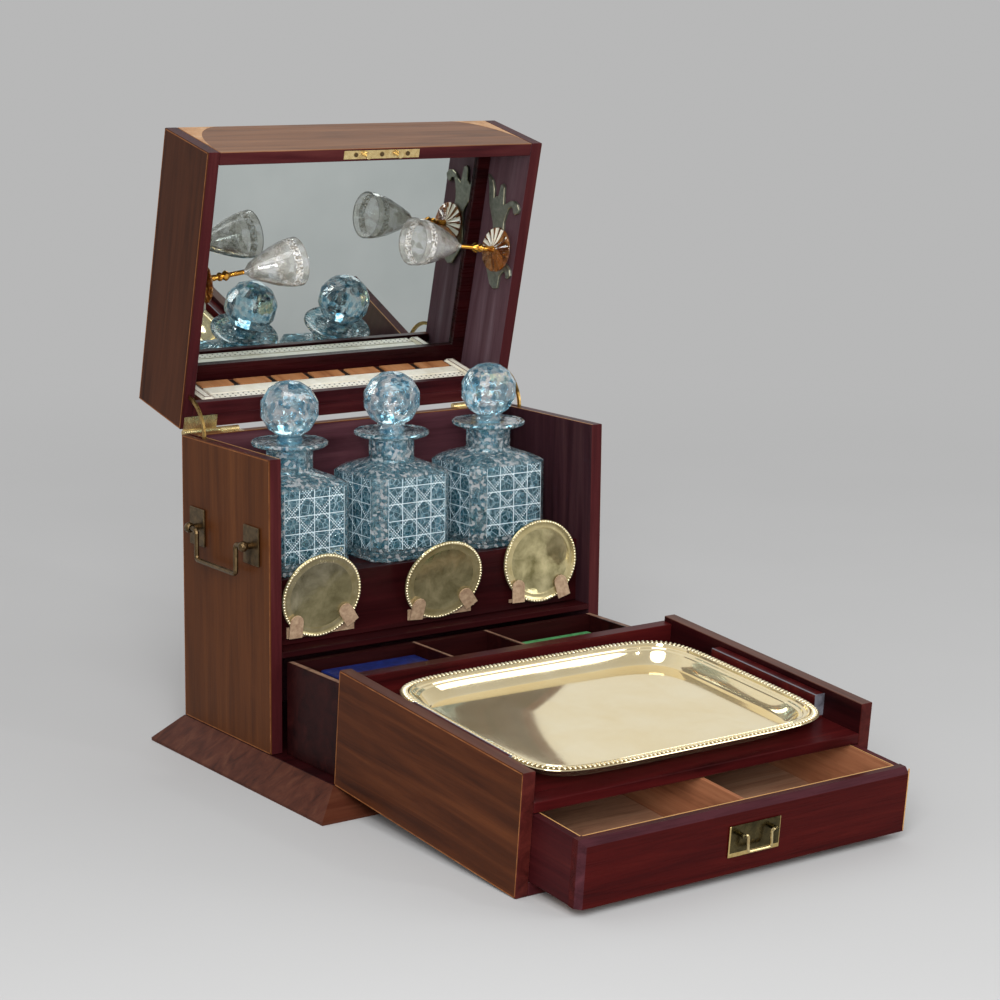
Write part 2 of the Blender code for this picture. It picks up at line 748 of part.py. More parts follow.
# Lid
lid_pivot = empty("lid_hinge_axis", lid_axis, turn=-lid_open)
lid_top = rim + lid_height
lid_leaf_x = (lid_hinge_middle, lid_hinge_outer)
lid_leaf_z = (rim, rim + lid_leaf_thickness)
lid_bed = leaf_bed(lid_leaf_x, case_leaf_y, lid_leaf_z)
lid_back_board = block((-between, back_inner, rim), (between, back, lid_wall_top + gap * 2))
lip = block((-between, back_inner - lip_depth, rim), (between, back_inner + gap, rim + lip_thickness))
one_bed = block((lid_leaf_x[0] - gap, case_leaf_y[0] - gap, lid_leaf_z[0] - gap),
                (lid_leaf_x[1] + gap, case_leaf_y[1] + gap, lid_leaf_z[1] + gap), 0)
lid_side = block((inner_half, front, rim), (half_width, back, lid_top))
pair("lid_side", combined(lid_side, ("DIFFERENCE", one_bed)), veneer_brown, lid_pivot)
lid_top_board = block((-between, front, lid_wall_top), (between, back, lid_top))
link_y = front + wall / 2
link_half = link_plate_length / 2
link_bed = block((-link_half - gap, link_y - wall / 3 - gap, rim - overrun),
                 (link_half + gap, link_y + wall / 3 + gap, rim + link_plate_thickness + gap), 0)
lid_front_board = block((-between, front, rim), (between, front + wall, lid_wall_top + gap * 2))
lid_shell = united(lid_top_board, lid_front_board, lid_back_board, lip)
piece("lid_shell", combined(lid_shell, ("DIFFERENCE", link_bed), ("DIFFERENCE", lid_bed)), veneer_brown, lid_pivot)
link_plate = block((-link_half, link_y - wall / 3, rim), (link_half, link_y + wall / 3, rim + link_plate_thickness), 0)
link_steps = []
for sign in (-1, 1):
    x = sign * link_spacing / 2
    link_steps.append(("UNION", rod((x, link_y, rim + gap), (x, link_y, rim - link_length), link_radius, 12)))
    link_steps.append(("UNION", rod((x, link_y, rim - link_length + link_head_length),
                                    (x, link_y, rim - link_length - gap), link_head_radius, 12)))
piece("lock_link_plate", combined(link_plate, *link_steps), aged_brass, lid_pivot)

under_top = lid_wall_top - gap
mirror_low = under_top - mirror_thickness
frame_low = mirror_low - gap - frame_thickness
inside_front = front + wall + gap
inside_back = back_inner - gap
board("mirror_glass", (-between, between), (inside_front, inside_back), (mirror_low, under_top), mirror_silver,
      lid_pivot, 0)
frame_ring = combined(
    block((-between, inside_front, frame_low), (between, inside_back, mirror_low - gap)),
    ("DIFFERENCE", block((-between + frame_stile_width, inside_front + frame_top_width, frame_low - overrun),
                         (between - frame_stile_width, inside_back - frame_bottom_width, mirror_low + overrun), 0)))
piece("mirror_frame", frame_ring, inner_red, lid_pivot)

lid_leaf = combined(
    block((lid_leaf_x[0], case_leaf_y[0], lid_leaf_z[0]), (lid_leaf_x[1], case_leaf_y[1], lid_leaf_z[1]), 0),
    ("UNION", rod((lid_leaf_x[0], lid_axis.y, lid_axis.z), (lid_leaf_x[1], lid_axis.y, lid_axis.z),
                  lid_knuckle_radius)),
    ("DIFFERENCE", rod((lid_leaf_x[0] - overrun, lid_axis.y, lid_axis.z),
                       (lid_leaf_x[1] + overrun, lid_axis.y, lid_axis.z), pin_radius + gap)))
pair("lid_hinge_lid_leaf", lid_leaf, aged_brass, lid_pivot)

stay_start = math.asin(gap / stay_radius) * 2
stay_points = []
stay_steps = 12
for radius, order in ((stay_outside, range(stay_steps + 1)), (stay_inside, range(stay_steps, -1, -1))):
    for step in order:
        angle = stay_start + (stay_end - stay_start) * step / stay_steps
        stay_points.append((lid_axis.y - radius * math.cos(angle), lid_axis.z - radius * math.sin(angle)))
stay = moved(outline(stay_points, stay_thickness, "X"), (stay_middle, 0, 0))
pair("lid_stay", stay, aged_brass, lid_pivot)

# Cribbage board on the lid's back wall
crib_back = inside_back
crib_z = (rim + crib_near, rim + crib_near + crib_width)
crib = block((-crib_length / 2, crib_back - crib_thickness, crib_z[0]), (crib_length / 2, crib_back, crib_z[1]))
crib_steps = []
crib_margin = (crib_width / 2 - crib_strip_width) / 2
for middle in (crib_z[0] + crib_width / 4, crib_z[1] - crib_width / 4):
    strip = block((-crib_length / 2 + crib_end_width + crib_margin, crib_back - crib_thickness - crib_strip_thickness,
                   middle - crib_strip_width / 2),
                  (crib_length / 2 - crib_end_width - crib_margin, crib_back - crib_thickness / 2,
                   middle + crib_strip_width / 2), 0)
    crib_steps.append(("UNION", strip))
for sign in (-1, 1):
    x = sign * (crib_length - crib_end_width) / 2
    crib_steps.append(("UNION", rod((x, crib_back - crib_thickness, crib_z[0] + crib_margin),
                                    (x, crib_back - crib_thickness, crib_z[1] - crib_margin),
                                    crib_end_width / 3, 16)))
piece("cribbage_board", combined(crib, *crib_steps), bone, lid_pivot)

# Glasses and their brackets
foot_x = inner_half - glass_wall_gap
glass_z = rim + glass_depth_in_lid
glass_profile = [(0, glass_height * 0.5)]
glass_profile += [(glass_rim_radius * across, glass_height * up) for across, up in glass_inner_shares]
glass_profile += [(glass_rim_radius - glass_wall, glass_height), (glass_rim_radius, glass_height)]
glass_profile += [(glass_rim_radius * across, glass_height * up) for across, up in glass_outer_shares]
glass_profile += [(glass_stem_radius * across, glass_height * up) for across, up in glass_stem_shares]
glass_profile += [
    (glass_foot_radius * 0.4, glass_foot_thickness * 2.6), (glass_foot_radius, glass_foot_thickness),
    (glass_foot_radius, 0), (0, 0)]
glass = turned(glass_profile, 28)
glass_tilt = math.radians(glass_tilt_degrees)
lie_down = Matrix.Rotation(glass_tilt, 4, "Z") @ Matrix.Rotation(-math.pi / 2, 4, "Y")
glass_right_at = Vector((foot_x, front + right_glass_from_front, glass_z))
glass_left_at = Vector((-foot_x, front + left_glass_from_front, glass_z))
lying = glass.copy()
lying.transform(lie_down)
low_x = max(vertex.co.x for vertex in lying.vertices)
lying = moved(lying, (-low_x, 0, 0))
piece("glass_right", moved(lying, glass_right_at), crystal, lid_pivot, glass_right_at)
piece("glass_left", moved(mirrored(lying), glass_left_at), crystal, lid_pivot, glass_left_at)

bracket_points = []
bracket_steps = 24
for step in range(bracket_steps):
    angle = 2 * math.pi * step / bracket_steps
    swell = 0.72 + 0.28 * math.cos(angle * 4)
    bracket_points.append((bracket_height / 2 * math.cos(angle) * swell, bracket_width / 2 * math.sin(angle) * swell))
for sign, side_name, from_front in ((1, "right", right_glass_from_front), (-1, "left", left_glass_from_front)):
    x = inner_half - gap - bracket_thickness / 2
    plate = moved(outline(bracket_points, bracket_thickness, "X"), (x, front + from_front, glass_z))
    fingers = []
    for side_sign in (-1, 1):
        y = front + from_front + side_sign * (glass_foot_radius + bracket_finger_thickness / 2 + gap)
        fingers.append(("UNION", block(
            (x - bracket_finger_reach, y - bracket_finger_thickness / 2, glass_z - bracket_finger_width / 2),
            (x, y + bracket_finger_thickness / 2, glass_z + bracket_finger_width / 2), 0)))
    bracket = combined(plate, *fingers)
    piece("glass_bracket_" + side_name, bracket if sign > 0 else mirrored(bracket), aged_brass, lid_pivot)

# Fall front, made upright in the closed box and laid open by its hinge
fall_pivot = empty("fall_hinge_axis", fall_axis, turn=fall_open)
knuckle_bed_cut = knuckle_cut()
fall_leaf_y = (front, front + wall - leaf_thickness - gap)
fall_leaf_z = (fall_start, fall_start + leaf_thickness)
lock_y = front + wall / 2
pockets = []
for sign in (-1, 1):
    x = sign * link_spacing / 2
    pockets.append(block((x - lock_slot_length / 2, lock_y - lock_slot_width / 2, fall_end - lock_pocket_depth),
                         (x + lock_slot_length / 2, lock_y + lock_slot_width / 2, fall_end + overrun), 0))
fall_board = combined(
    block((-between, front, fall_start), (between, front + wall, fall_end)),
    ("DIFFERENCE", knuckle_bed_cut),
    ("DIFFERENCE", leaf_bed(base_leaf_x, fall_leaf_y, fall_leaf_z)),
    ("DIFFERENCE", gathered(*pockets)))
piece("fall_panel", fall_board, veneer_brown, fall_pivot)
fall_side = block((inner_half, front, fall_start), (half_width, front + fall_thickness, fall_end))
pair("fall_side", fall_side, veneer_brown, fall_pivot)
rear_y = front + wall + gap
rear_wall = block((-between, rear_y, fall_start),
                  (between, front + fall_thickness - rear_wall_drop, fall_start + wall))
platform = block((-between, front + platform_under, fall_start + wall - gap),
                 (between, front + platform_top, fall_end))
rests = [block((between - rest_thickness, front + platform_top - gap, fall_axis.z + rest_start),
               (between, front + fall_thickness - rest_drop, fall_axis.z + rest_end))]
rests.append(mirrored(rests[0]))
piece("fall_platform", united(rear_wall, platform, *rests), inner_red, fall_pivot)
moving_leaf = combined(
    block((base_leaf_x[0], fall_leaf_y[0], fall_leaf_z[0]), (base_leaf_x[1], fall_leaf_y[1], fall_leaf_z[1]), 0),
    ("DIFFERENCE", block((0, front - overrun, fall_axis.z), (fall_hinge_inner + knuckle_length + gap / 2,
                                                            front + knuckle_bed, fall_start + overrun), 0)),
    ("UNION", rod((fall_hinge_inner + knuckle_length + gap / 2, fall_axis.y, fall_axis.z),
                  (fall_hinge_outer, fall_axis.y, fall_axis.z), fall_knuckle_radius)),
    ("DIFFERENCE", rod((fall_hinge_inner, fall_axis.y, fall_axis.z),
                       (fall_hinge_outer + overrun, fall_axis.y, fall_axis.z), pin_radius + gap)))
pair("fall_hinge_fall_leaf", moving_leaf, aged_brass, fall_pivot)

# Serving tray
tray_rings = []
tray_half = Vector((tray_length / 2, tray_width / 2))
tray_level_shares = [(0.98, 0), (0.49, 0.62), (0.16, 0.80), (0, 0.84), (0, 0.97), (0.06, 1.0), (0.16, 1.0),
                     (0.22, 0.9), (0.55, 0.72)]
tray_levels = [(tray_border * border, rise) for border, rise in tray_level_shares]
tray_levels.append((tray_border, tray_sheet / tray_height))
for inset, rise in tray_levels:
    level_points = []
    for step in range(tray_points):
        angle = 2 * math.pi * step / tray_points
        across = math.copysign(abs(math.cos(angle)) ** (2 / tray_power), math.cos(angle))
        along = math.copysign(abs(math.sin(angle)) ** (2 / tray_power), math.sin(angle))
        level_points.append(Vector(((tray_half.x - inset) * across, rise * tray_height, (tray_half.y - inset) * along)))
    tray_rings.append(level_points)
tray_at = Vector((0, front + platform_top + gap, fall_axis.z + tray_middle))
piece("serving_tray", moved(lofted(tray_rings), tray_at), bright_gilt, fall_pivot, tray_at)

# Cigar drawer, pulled out of the open fall
cigar_low = front + wall + gap * 2
cigar_high = front + platform_under - running_gap
cigar_from = fall_end - cigar_depth
cigar_half = between
cigar_slide = empty("cigar_drawer_slide", (0, (cigar_low + cigar_high) / 2, fall_end), fall_pivot,
                    slide=(0, 0, cigar_pull))
front_low_z = fall_end - cigar_front_thickness
cigar_front_levels = []
for height, in_by in ((front_low_z, 0), (fall_end - cigar_front_bevel, 0), (fall_end, cigar_front_bevel)):
    left_x = in_by - cigar_half
    high_y = cigar_high - in_by
    cigar_front_levels.append([Vector((left_x, cigar_low, height)), Vector((cigar_half, cigar_low, height)),
                               Vector((cigar_half, high_y, height)), Vector((left_x, high_y, height))])
front_face = lofted(cigar_front_levels)
piece("cigar_front", front_face, inner_red, cigar_slide)
side_in = cigar_half - cigar_side
cigar_rim = cigar_high - gap * 2
cigar_wall = block((side_in, cigar_low, cigar_from), (cigar_half, cigar_rim, front_low_z - gap))
cigar_end = block((-side_in - gap, cigar_low, cigar_from), (side_in + gap, cigar_rim, cigar_from + cigar_side))
piece("cigar_walls", united(cigar_end, cigar_wall, mirrored(cigar_wall)), cedar, cigar_slide)
tray_in = side_in - gap
cigar_floor = (cigar_low + cigar_bottom_lift, cigar_low + cigar_bottom_lift + cigar_bottom_thickness)
inner_z = (cigar_from + cigar_side + gap, front_low_z - gap)
cigar_board = block((-tray_in, cigar_floor[0], inner_z[0]), (tray_in, cigar_floor[1], inner_z[1]))
divider = block((-cigar_partition / 2, cigar_floor[1] - gap, inner_z[0]), (cigar_partition / 2, cigar_rim, inner_z[1]))
piece("cigar_bottom", united(cigar_board, divider), cedar, cigar_slide)

plate_low = fall_end + gap
handle_y = cigar_low + (cigar_high - cigar_low) / 2 - gap
plate = block((drawer_handle_shift - drawer_plate_width / 2, handle_y - drawer_plate_height / 2, plate_low),
              (drawer_handle_shift + drawer_plate_width / 2, handle_y + drawer_plate_height / 2,
               plate_low + drawer_plate_thickness), drawer_plate_bevel / 2)
bail_z = plate_low + drawer_plate_thickness + drawer_post_reach
bail_y = handle_y + drawer_bail_rise
drawer_steps = []
for sign in (-1, 1):
    x = drawer_handle_shift + sign * drawer_post_spacing / 2
    drawer_steps.append(("UNION", rod((x, bail_y, plate_low + gap), (x, bail_y, bail_z), drawer_post_radius * 0.8, 12)))
    drawer_steps.append(("UNION", ball((x, bail_y, bail_z), drawer_post_radius)))
    drawer_steps.append(("DIFFERENCE", rod((x, bail_y, bail_z), (x - sign * drawer_post_radius * 2, bail_y, bail_z),
                                           drawer_bail_rod + gap, 12)))
piece("cigar_handle_plate", combined(plate, *drawer_steps), aged_brass, cigar_slide)
bail_pivot = empty("drawer_bail_axis", (drawer_handle_shift, bail_y, bail_z), cigar_slide, turn=-fall_open)
bail_pin = (drawer_post_spacing - drawer_bail_width) / 2 - gap
bail_line = rounded_u(drawer_bail_width, drawer_bail_drop, bail_pin, drawer_bail_rod * 1.6)
bail_points = [(drawer_handle_shift + across, bail_y, bail_z + up) for across, up in bail_line]
piece("cigar_bail", tube(bail_points, drawer_bail_rod), aged_brass, bail_pivot, (drawer_handle_shift, bail_y, bail_z))

# Games drawer, drawn forward with the fall
games_travel = (case_depth - wall - gap * 30 - games_depth) - games_front_gap
games_out = front + games_front_gap
games_half = inner_half - running_gap * 4
games_low = base_thickness + gap
games_high = dust_board_top_height - dust_board_thickness - games_head_room
games_back = games_out + games_depth
games_shell = block((-games_half, games_out, games_low), (games_half, games_back, games_high))
games_in = games_half - games_side
games_y = (games_out + games_front_thickness, games_back - games_side)
games_hollow = block((-games_in, games_y[0], -overrun), (games_in, games_y[1], games_high + overrun), 0)
piece("games_walls", combined(games_shell, ("DIFFERENCE", games_hollow)), inner_red)
games_floor = (games_low + games_bottom_lift, games_low + games_bottom_lift + games_bottom_thickness)
games_board = block((-games_in + gap, games_y[0] + gap, games_floor[0]), (games_in - gap, games_y[1] - gap, games_floor[1]))
partitions = []
for x in (games_partition_left, games_partition_right):
    partitions.append(block((x - games_partition / 2, games_y[0] + gap, games_floor[1] - gap),
                            (x + games_partition / 2, games_y[1] - gap, games_high)))
piece("games_bottom", united(games_board, *partitions), inner_red)
pack_z = games_floor[1] + gap
packs = (
    ("card_pack_blue", left_pack_middle, blue_card, deep_pack_length, deep_pack_depth, deep_pack_height,
     games_y[1] - deep_pack_from_back),
    ("card_pack_green", right_pack_middle, green_card, pack_length, pack_depth, pack_height,
     games_y[1] - pack_from_back))
for name, x, colour, length, depth, height, pack_y in packs:
    pack = block((x - length / 2, pack_y - depth, pack_z), (x + length / 2, pack_y, pack_z + height), pack_edge)
    piece(name, pack, colour)
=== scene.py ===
import bpy
import bmesh
import json
import math
from mathutils import Matrix, Vector

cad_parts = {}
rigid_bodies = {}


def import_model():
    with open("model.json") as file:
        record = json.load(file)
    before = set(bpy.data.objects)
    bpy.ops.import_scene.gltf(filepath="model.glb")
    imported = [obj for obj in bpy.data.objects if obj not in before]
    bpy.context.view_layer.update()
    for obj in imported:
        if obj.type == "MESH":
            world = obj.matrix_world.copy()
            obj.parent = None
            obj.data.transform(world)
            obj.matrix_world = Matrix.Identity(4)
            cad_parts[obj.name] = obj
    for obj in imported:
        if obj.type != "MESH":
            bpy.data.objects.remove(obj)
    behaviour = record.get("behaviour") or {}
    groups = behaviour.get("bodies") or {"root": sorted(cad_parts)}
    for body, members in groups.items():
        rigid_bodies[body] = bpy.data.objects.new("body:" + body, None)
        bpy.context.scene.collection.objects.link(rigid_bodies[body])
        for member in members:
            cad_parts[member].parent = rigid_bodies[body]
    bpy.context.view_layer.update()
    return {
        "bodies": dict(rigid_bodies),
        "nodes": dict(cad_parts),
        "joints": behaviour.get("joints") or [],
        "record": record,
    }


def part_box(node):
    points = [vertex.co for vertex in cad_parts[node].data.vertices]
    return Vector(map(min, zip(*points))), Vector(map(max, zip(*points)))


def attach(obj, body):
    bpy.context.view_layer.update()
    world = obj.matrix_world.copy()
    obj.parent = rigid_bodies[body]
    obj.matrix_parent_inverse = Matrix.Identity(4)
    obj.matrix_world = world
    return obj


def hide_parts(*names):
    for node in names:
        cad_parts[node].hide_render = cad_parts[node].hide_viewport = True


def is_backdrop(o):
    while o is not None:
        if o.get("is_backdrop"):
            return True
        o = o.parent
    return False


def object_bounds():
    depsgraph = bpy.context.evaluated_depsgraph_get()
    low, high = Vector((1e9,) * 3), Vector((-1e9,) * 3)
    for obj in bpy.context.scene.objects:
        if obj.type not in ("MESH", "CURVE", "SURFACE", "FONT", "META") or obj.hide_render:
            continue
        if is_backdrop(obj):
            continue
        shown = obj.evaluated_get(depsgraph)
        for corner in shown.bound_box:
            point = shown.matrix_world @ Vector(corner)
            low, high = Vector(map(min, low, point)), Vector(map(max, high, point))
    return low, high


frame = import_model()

nodes = frame["nodes"]

# Camera, set from the photograph's vanishing points
camera = {"lens": 91.29, "place": (-1.4478, -2.1392, 0.7690), "yaw": 35.777, "pitch": 11.158, "roll": 0.657}
yaw, pitch, roll = (math.radians(camera[key]) for key in ("yaw", "pitch", "roll"))
forward = Vector((math.sin(yaw) * math.cos(pitch), math.cos(yaw) * math.cos(pitch), -math.sin(pitch)))
right = Vector((math.cos(yaw), -math.sin(yaw), 0))
up = right.cross(forward)
rolledRight = right * math.cos(roll) + up * math.sin(roll)
rolledUp = up * math.cos(roll) - right * math.sin(roll)
cameraData = bpy.data.cameras.new("camera")
cameraData.lens = camera["lens"]
cameraData.sensor_width = 36
cameraObject = bpy.data.objects.new("camera", cameraData)
bpy.context.scene.collection.objects.link(cameraObject)
turn = Matrix((rolledRight, rolledUp, -forward)).transposed().to_4x4()
cameraObject.matrix_world = Matrix.Translation(camera["place"]) @ turn
bpy.context.scene.camera = cameraObject

# The box's own sizes, as the solids have them. Pieces are made in the closed box and carried open.
sizes = {
    "front": -0.1475, "back": 0.1475, "halfWidth": 0.206, "innerHalf": 0.1925, "wall": 0.0135,
    "caseTop": 0.325, "foot": 0.025, "mainFront": -0.0296, "backInner": 0.134, "dustTop": 0.129,
    "fallAxis": (-0.1475, 0.0255), "fallOpen": 94.896, "fallReach": 0.2988, "fallThick": 0.117,
    "platform": 0.0875, "lidAxis": (0.152, 0.32515), "lidOpen": -77.0, "rim": 0.3253, "lidHeight": 0.092,
    "cigarPull": 0.070,
}
front, back, halfWidth, wall = (sizes[key] for key in ("front", "back", "halfWidth", "wall"))
innerHalf, rim, caseTop = sizes["innerHalf"], sizes["rim"], sizes["caseTop"]
backInner, mainFront, fallLow = sizes["backInner"], sizes["mainFront"], sizes["fallAxis"][1]
fallEnd = fallLow + sizes["fallReach"]


def hinged(axis, degrees):
    # Carries a piece made in the closed box to its place in the open one.
    pivot = Vector((0, axis[0], axis[1]))
    turned = Matrix.Rotation(math.radians(degrees), 4, "X")
    return Matrix.Translation(pivot) @ turned @ Matrix.Translation(-pivot)


lidPlace = hinged(sizes["lidAxis"], sizes["lidOpen"])
fallPlace = hinged(sizes["fallAxis"], sizes["fallOpen"])
drawerPlace = fallPlace @ Matrix.Translation((0, 0, sizes["cigarPull"]))


def linear(code):
    channels = [int(code[i:i + 2], 16) / 255 for i in (1, 3, 5)]
    return [c / 12.92 if c <= 0.04045 else ((c + 0.055) / 1.055) ** 2.4 for c in channels] + [1]


def addNode(tree, kind, inputs=None, **settings):
    # Adds a node, sets what is given and links what is a socket.
    node = tree.nodes.new(kind)
    for key, value in settings.items():
        setattr(node, key, value)
    for key, value in (inputs or {}).items():
        if isinstance(value, bpy.types.NodeSocket):
            tree.links.new(value, node.inputs[key])
        else:
            isColour = isinstance(value, str) and value.startswith("#")
            node.inputs[key].default_value = linear(value) if isColour else value
    return node


def sums(tree, operation, *values):
    return addNode(tree, "ShaderNodeMath", dict(enumerate(values)), operation=operation).outputs[0]


# Materials
class Look:
    # One material, with the noises and mixes that the finishes share
    def __init__(self, name, roughness=0.4, metallic=0.0):
        self.material = bpy.data.materials.new(name)
        self.material.use_nodes = True
        self.tree = self.material.node_tree
        self.shader = self.tree.nodes["Principled BSDF"]
        self.set("Roughness", roughness)
        self.set("Metallic", metallic)
        coordinates = self.add("ShaderNodeTexCoord").outputs
        self.place, self.uv = coordinates["Object"], coordinates["UV"]

    def add(self, kind, inputs=None, **settings):
        return addNode(self.tree, kind, inputs, **settings)

    def set(self, socket, value):
        if isinstance(value, bpy.types.NodeSocket):
            self.tree.links.new(value, self.shader.inputs[socket])
        else:
            self.shader.inputs[socket].default_value = value

    def mapped(self, place, scale, degrees=(0, 0, 0)):
        turned = self.add("ShaderNodeMapping", {
            "Vector": place, "Rotation": [math.radians(angle) for angle in degrees]})
        return self.add("ShaderNodeMapping", {"Vector": turned.outputs[0], "Scale": scale}).outputs[0]

    def noise(self, vector, scale, detail=4.0, rough=0.5, twist=0.0):
        return self.add("ShaderNodeTexNoise", {
            "Vector": vector, "Scale": scale, "Detail": detail, "Roughness": rough,
            "Distortion": twist}).outputs["Fac"]

    def ramp(self, value, stops):
        node = self.add("ShaderNodeValToRGB", {"Fac": value})
        ramp = node.color_ramp
        while len(ramp.elements) < len(stops):
            ramp.elements.new(0.5)
        for element, (position, colour) in zip(ramp.elements, stops):
            element.position = position
            element.color = linear(colour) if isinstance(colour, str) else (colour, colour, colour, 1)
        return node.outputs["Color"]

    def range(self, value, low, high, start=0.0, end=1.0):
        return self.add("ShaderNodeMapRange", {
            "Value": value, "From Min": start, "From Max": end, "To Min": low, "To Max": high}).outputs[0]

    def mix(self, factor, first, second, blend="MIX"):
        return self.add("ShaderNodeMix", {0: factor, 6: first, 7: second}, data_type="RGBA",
                        blend_type=blend).outputs[2]

    def bump(self, height, strength, distance):
        node = self.add("ShaderNodeBump", {"Height": height, "Strength": strength, "Distance": distance})
        self.set("Normal", node.outputs[0])


def closedPlace(look, axis, degrees, pulled=0.0):
    # Where a point of the opened lid, fall or drawer was in the closed box.
    y, z = axis
    moved = look.add("ShaderNodeMapping", {"Vector": look.place, "Location": (0, -y, -z)}).outputs[0]
    return look.add("ShaderNodeMapping", {
        "Vector": moved, "Rotation": (math.radians(-degrees), 0, 0),
        "Location": (0, y, z - pulled)}).outputs[0]


def within(look, place, limits):
    # 1 where every named coordinate lies between its limits. "side" is the distance from the middle plane.
    axes = look.add("ShaderNodeSeparateXYZ", {"Vector": place}).outputs
    sockets = {"x": axes[0], "y": axes[1], "z": axes[2], "side": sums(look.tree, "ABSOLUTE", axes[0])}
    result = None
    for axis, (low, high) in limits.items():
        above = sums(look.tree, "GREATER_THAN", sockets[axis], low)
        both = sums(look.tree, "MULTIPLY", above, sums(look.tree, "LESS_THAN", sockets[axis], high))
        result = sums(look.tree, "MULTIPLY", both, result) if result else both
    return result


# Wood grain: how fine each part of it is, how far it is drawn out along the board, and the wax's shine
timber = {
    "fibre": 420, "bands": 62, "clouds": 17, "pores": 1500, "drawn": 0.05, "cloudsDrawn": 0.35,
    "shine": 0.07,
}


def grainColour(look, place, grain, colours, figure):
    dark, middle, light = colours
    along, cloudsAlong = ([timber[key] if axis == grain else 1 for axis in "XYZ"]
                          for key in ("drawn", "cloudsDrawn"))
    stretched = look.mapped(place, along)
    fibre = look.noise(stretched, timber["fibre"], 6, 0.62, 0.4)
    bands = look.noise(stretched, timber["bands"], 4, 0.55, 0.9)
    cloud = look.noise(look.mapped(place, cloudsAlong), timber["clouds"] * figure, 3, 0.6, 1.6)
    pores = look.noise(stretched, timber["pores"], 2, 0.5, 0.1)
    base = look.ramp(bands, [(0.28, dark), (0.5, middle), (0.75, light)])
    figured = look.mix(look.ramp(cloud, [(0.35, 0.0), (0.7, 0.75)]), base, middle)
    shaded = look.mix(0.38, figured, look.ramp(fibre, [(0.3, 0.5), (0.6, 1.0)]), "MULTIPLY")
    shaded = look.mix(0.35, shaded, look.ramp(cloud, [(0.3, 0.6), (0.72, 1.0)]), "MULTIPLY")
    return look.mix(look.ramp(pores, [(0.66, 0.0), (0.74, 0.6)]), shaded, dark), fibre


def wood(name, colours, grain, hinge=None, gloss=0.30, figure=1.0, zones=()):
    # Waxed wood: streaks, clouds and pores along the grain give an old polished veneer. Each zone is a set of
    # colours, a grain and the limits of the faces that have them, such as a board's inner face or its edge.
    look = Look(name, gloss)
    place = closedPlace(look, *hinge) if hinge else look.place
    colour, fibre = grainColour(look, place, grain, colours, figure)
    for zoneColours, zoneGrain, limits in zones:
        zoneColour = grainColour(look, place, zoneGrain, zoneColours, 1.0)[0]
        colour = look.mix(within(look, place, limits), colour, zoneColour)
    look.set("Base Color", colour)
    look.set("Roughness", look.range(fibre, gloss - 0.07, gloss + 0.12))
    look.set("Specular IOR Level", timber["shine"])
    look.bump(fibre, 0.12, 0.0004)
    return look.material


def metal(name, dark, light, roughness, wear, scale, dents=0.08, frame=None, metallic=1.0):
    # Rubbed metal: clouds of tarnish between brighter handled parts, with fine scratches in its gloss. The
    # frame, where given, is the place and the limits of a darker middle inside edges painted bright as
    # highlights.
    look = Look(name, roughness, metallic)
    cloud = look.noise(look.place, scale, 5, 0.6, 0.3)
    scratch = look.noise(look.mapped(look.place, (1, 14, 1), (20, 35, 50)), 260, 3, 0.6)
    colour = look.ramp(cloud, [(0.5 - wear / 2, dark), (0.5 + wear / 2, light)])
    if frame:
        hinge, limits, middleDark, middleLight = frame
        middle = look.ramp(cloud, [(0.3, middleDark), (0.7, middleLight)])
        colour = look.mix(within(look, closedPlace(look, *hinge), limits), colour, middle)
    look.set("Base Color", colour)
    mixed = sums(look.tree, "MULTIPLY", cloud, scratch)
    look.set("Roughness", look.range(mixed, max(roughness - 0.06, 0.02), roughness + 0.12, 0.1, 0.5))
    look.bump(cloud, dents, 0.0008)
    return look.material


def glassy(look, clear):
    look.set("Transmission Weight", clear)
    look.set("IOR", 1.5)
    look.set("Specular IOR Level", 0.6)
    return look.material


def glassLook(name, colour, pale, deepTone, roughness, clear, cells, marks=0.0, glints=0.0):
    # Cut glass: every small cell has its own tone between deep and pale, painted as the broken glints of cut
    # faces. Marks are ground spots, as in an etched band. Glints are scattered cells painted white as
    # highlights.
    look = Look(name, roughness)
    glintCells = look.add("ShaderNodeTexVoronoi", {"Vector": look.place, "Scale": cells}).outputs
    tone = look.add("ShaderNodeSeparateColor", {0: glintCells["Color"]}).outputs[0]
    look.set("Base Color", look.ramp(tone, [(0.1, deepTone), (0.45, colour), (0.9, pale)]))
    look.bump(glintCells["Distance"], 0.3, 0.0006)
    if glints:
        clear = look.range(tone, clear, clear - glints, 0.74, 0.84)
    if marks:
        spots = look.noise(look.place, 420, 3, 0.6)
        ground = look.ramp(spots, [(0.5 - marks / 2, 0.15), (0.5 + marks / 2, clear)])
        clear = look.add("ShaderNodeRGBToBW", {0: ground}).outputs[0]
    return glassy(look, clear)


# The cut pattern, in cells: half widths of the lines and of the slanting bands, their shifts, the notches,
# and the net of bright lines painted as the image of the far side's cuts seen through the glass
cutting = {
    "cell": 0.01775, "perCell": 20, "depth": 0.0007, "line": 0.028, "levelShift": 0.25, "band": 0.068,
    "bandShift": 0.25, "hollow": 0.38, "notches": 10.0, "notch": 0.36, "soft": 0.55, "net": 150.0,
    "netShare": 0.5, "clear": (0.93, 0.14), "gloss": (0.0, 0.2),
}


def nearWhole(tree, value, shift, start, end):
    # 1 at every whole number, falling to 0 between these two distances from it
    away = sums(tree, "PINGPONG", sums(tree, "ADD", value, shift), 0.5)
    return addNode(tree, "ShaderNodeMapRange", {"Value": away, "From Min": start, "From Max": end}).outputs[0]


def slants(tree, u, v):
    return [sums(tree, "MULTIPLY", sums(tree, kind, u, v), 0.5) for kind in ("ADD", "SUBTRACT")]


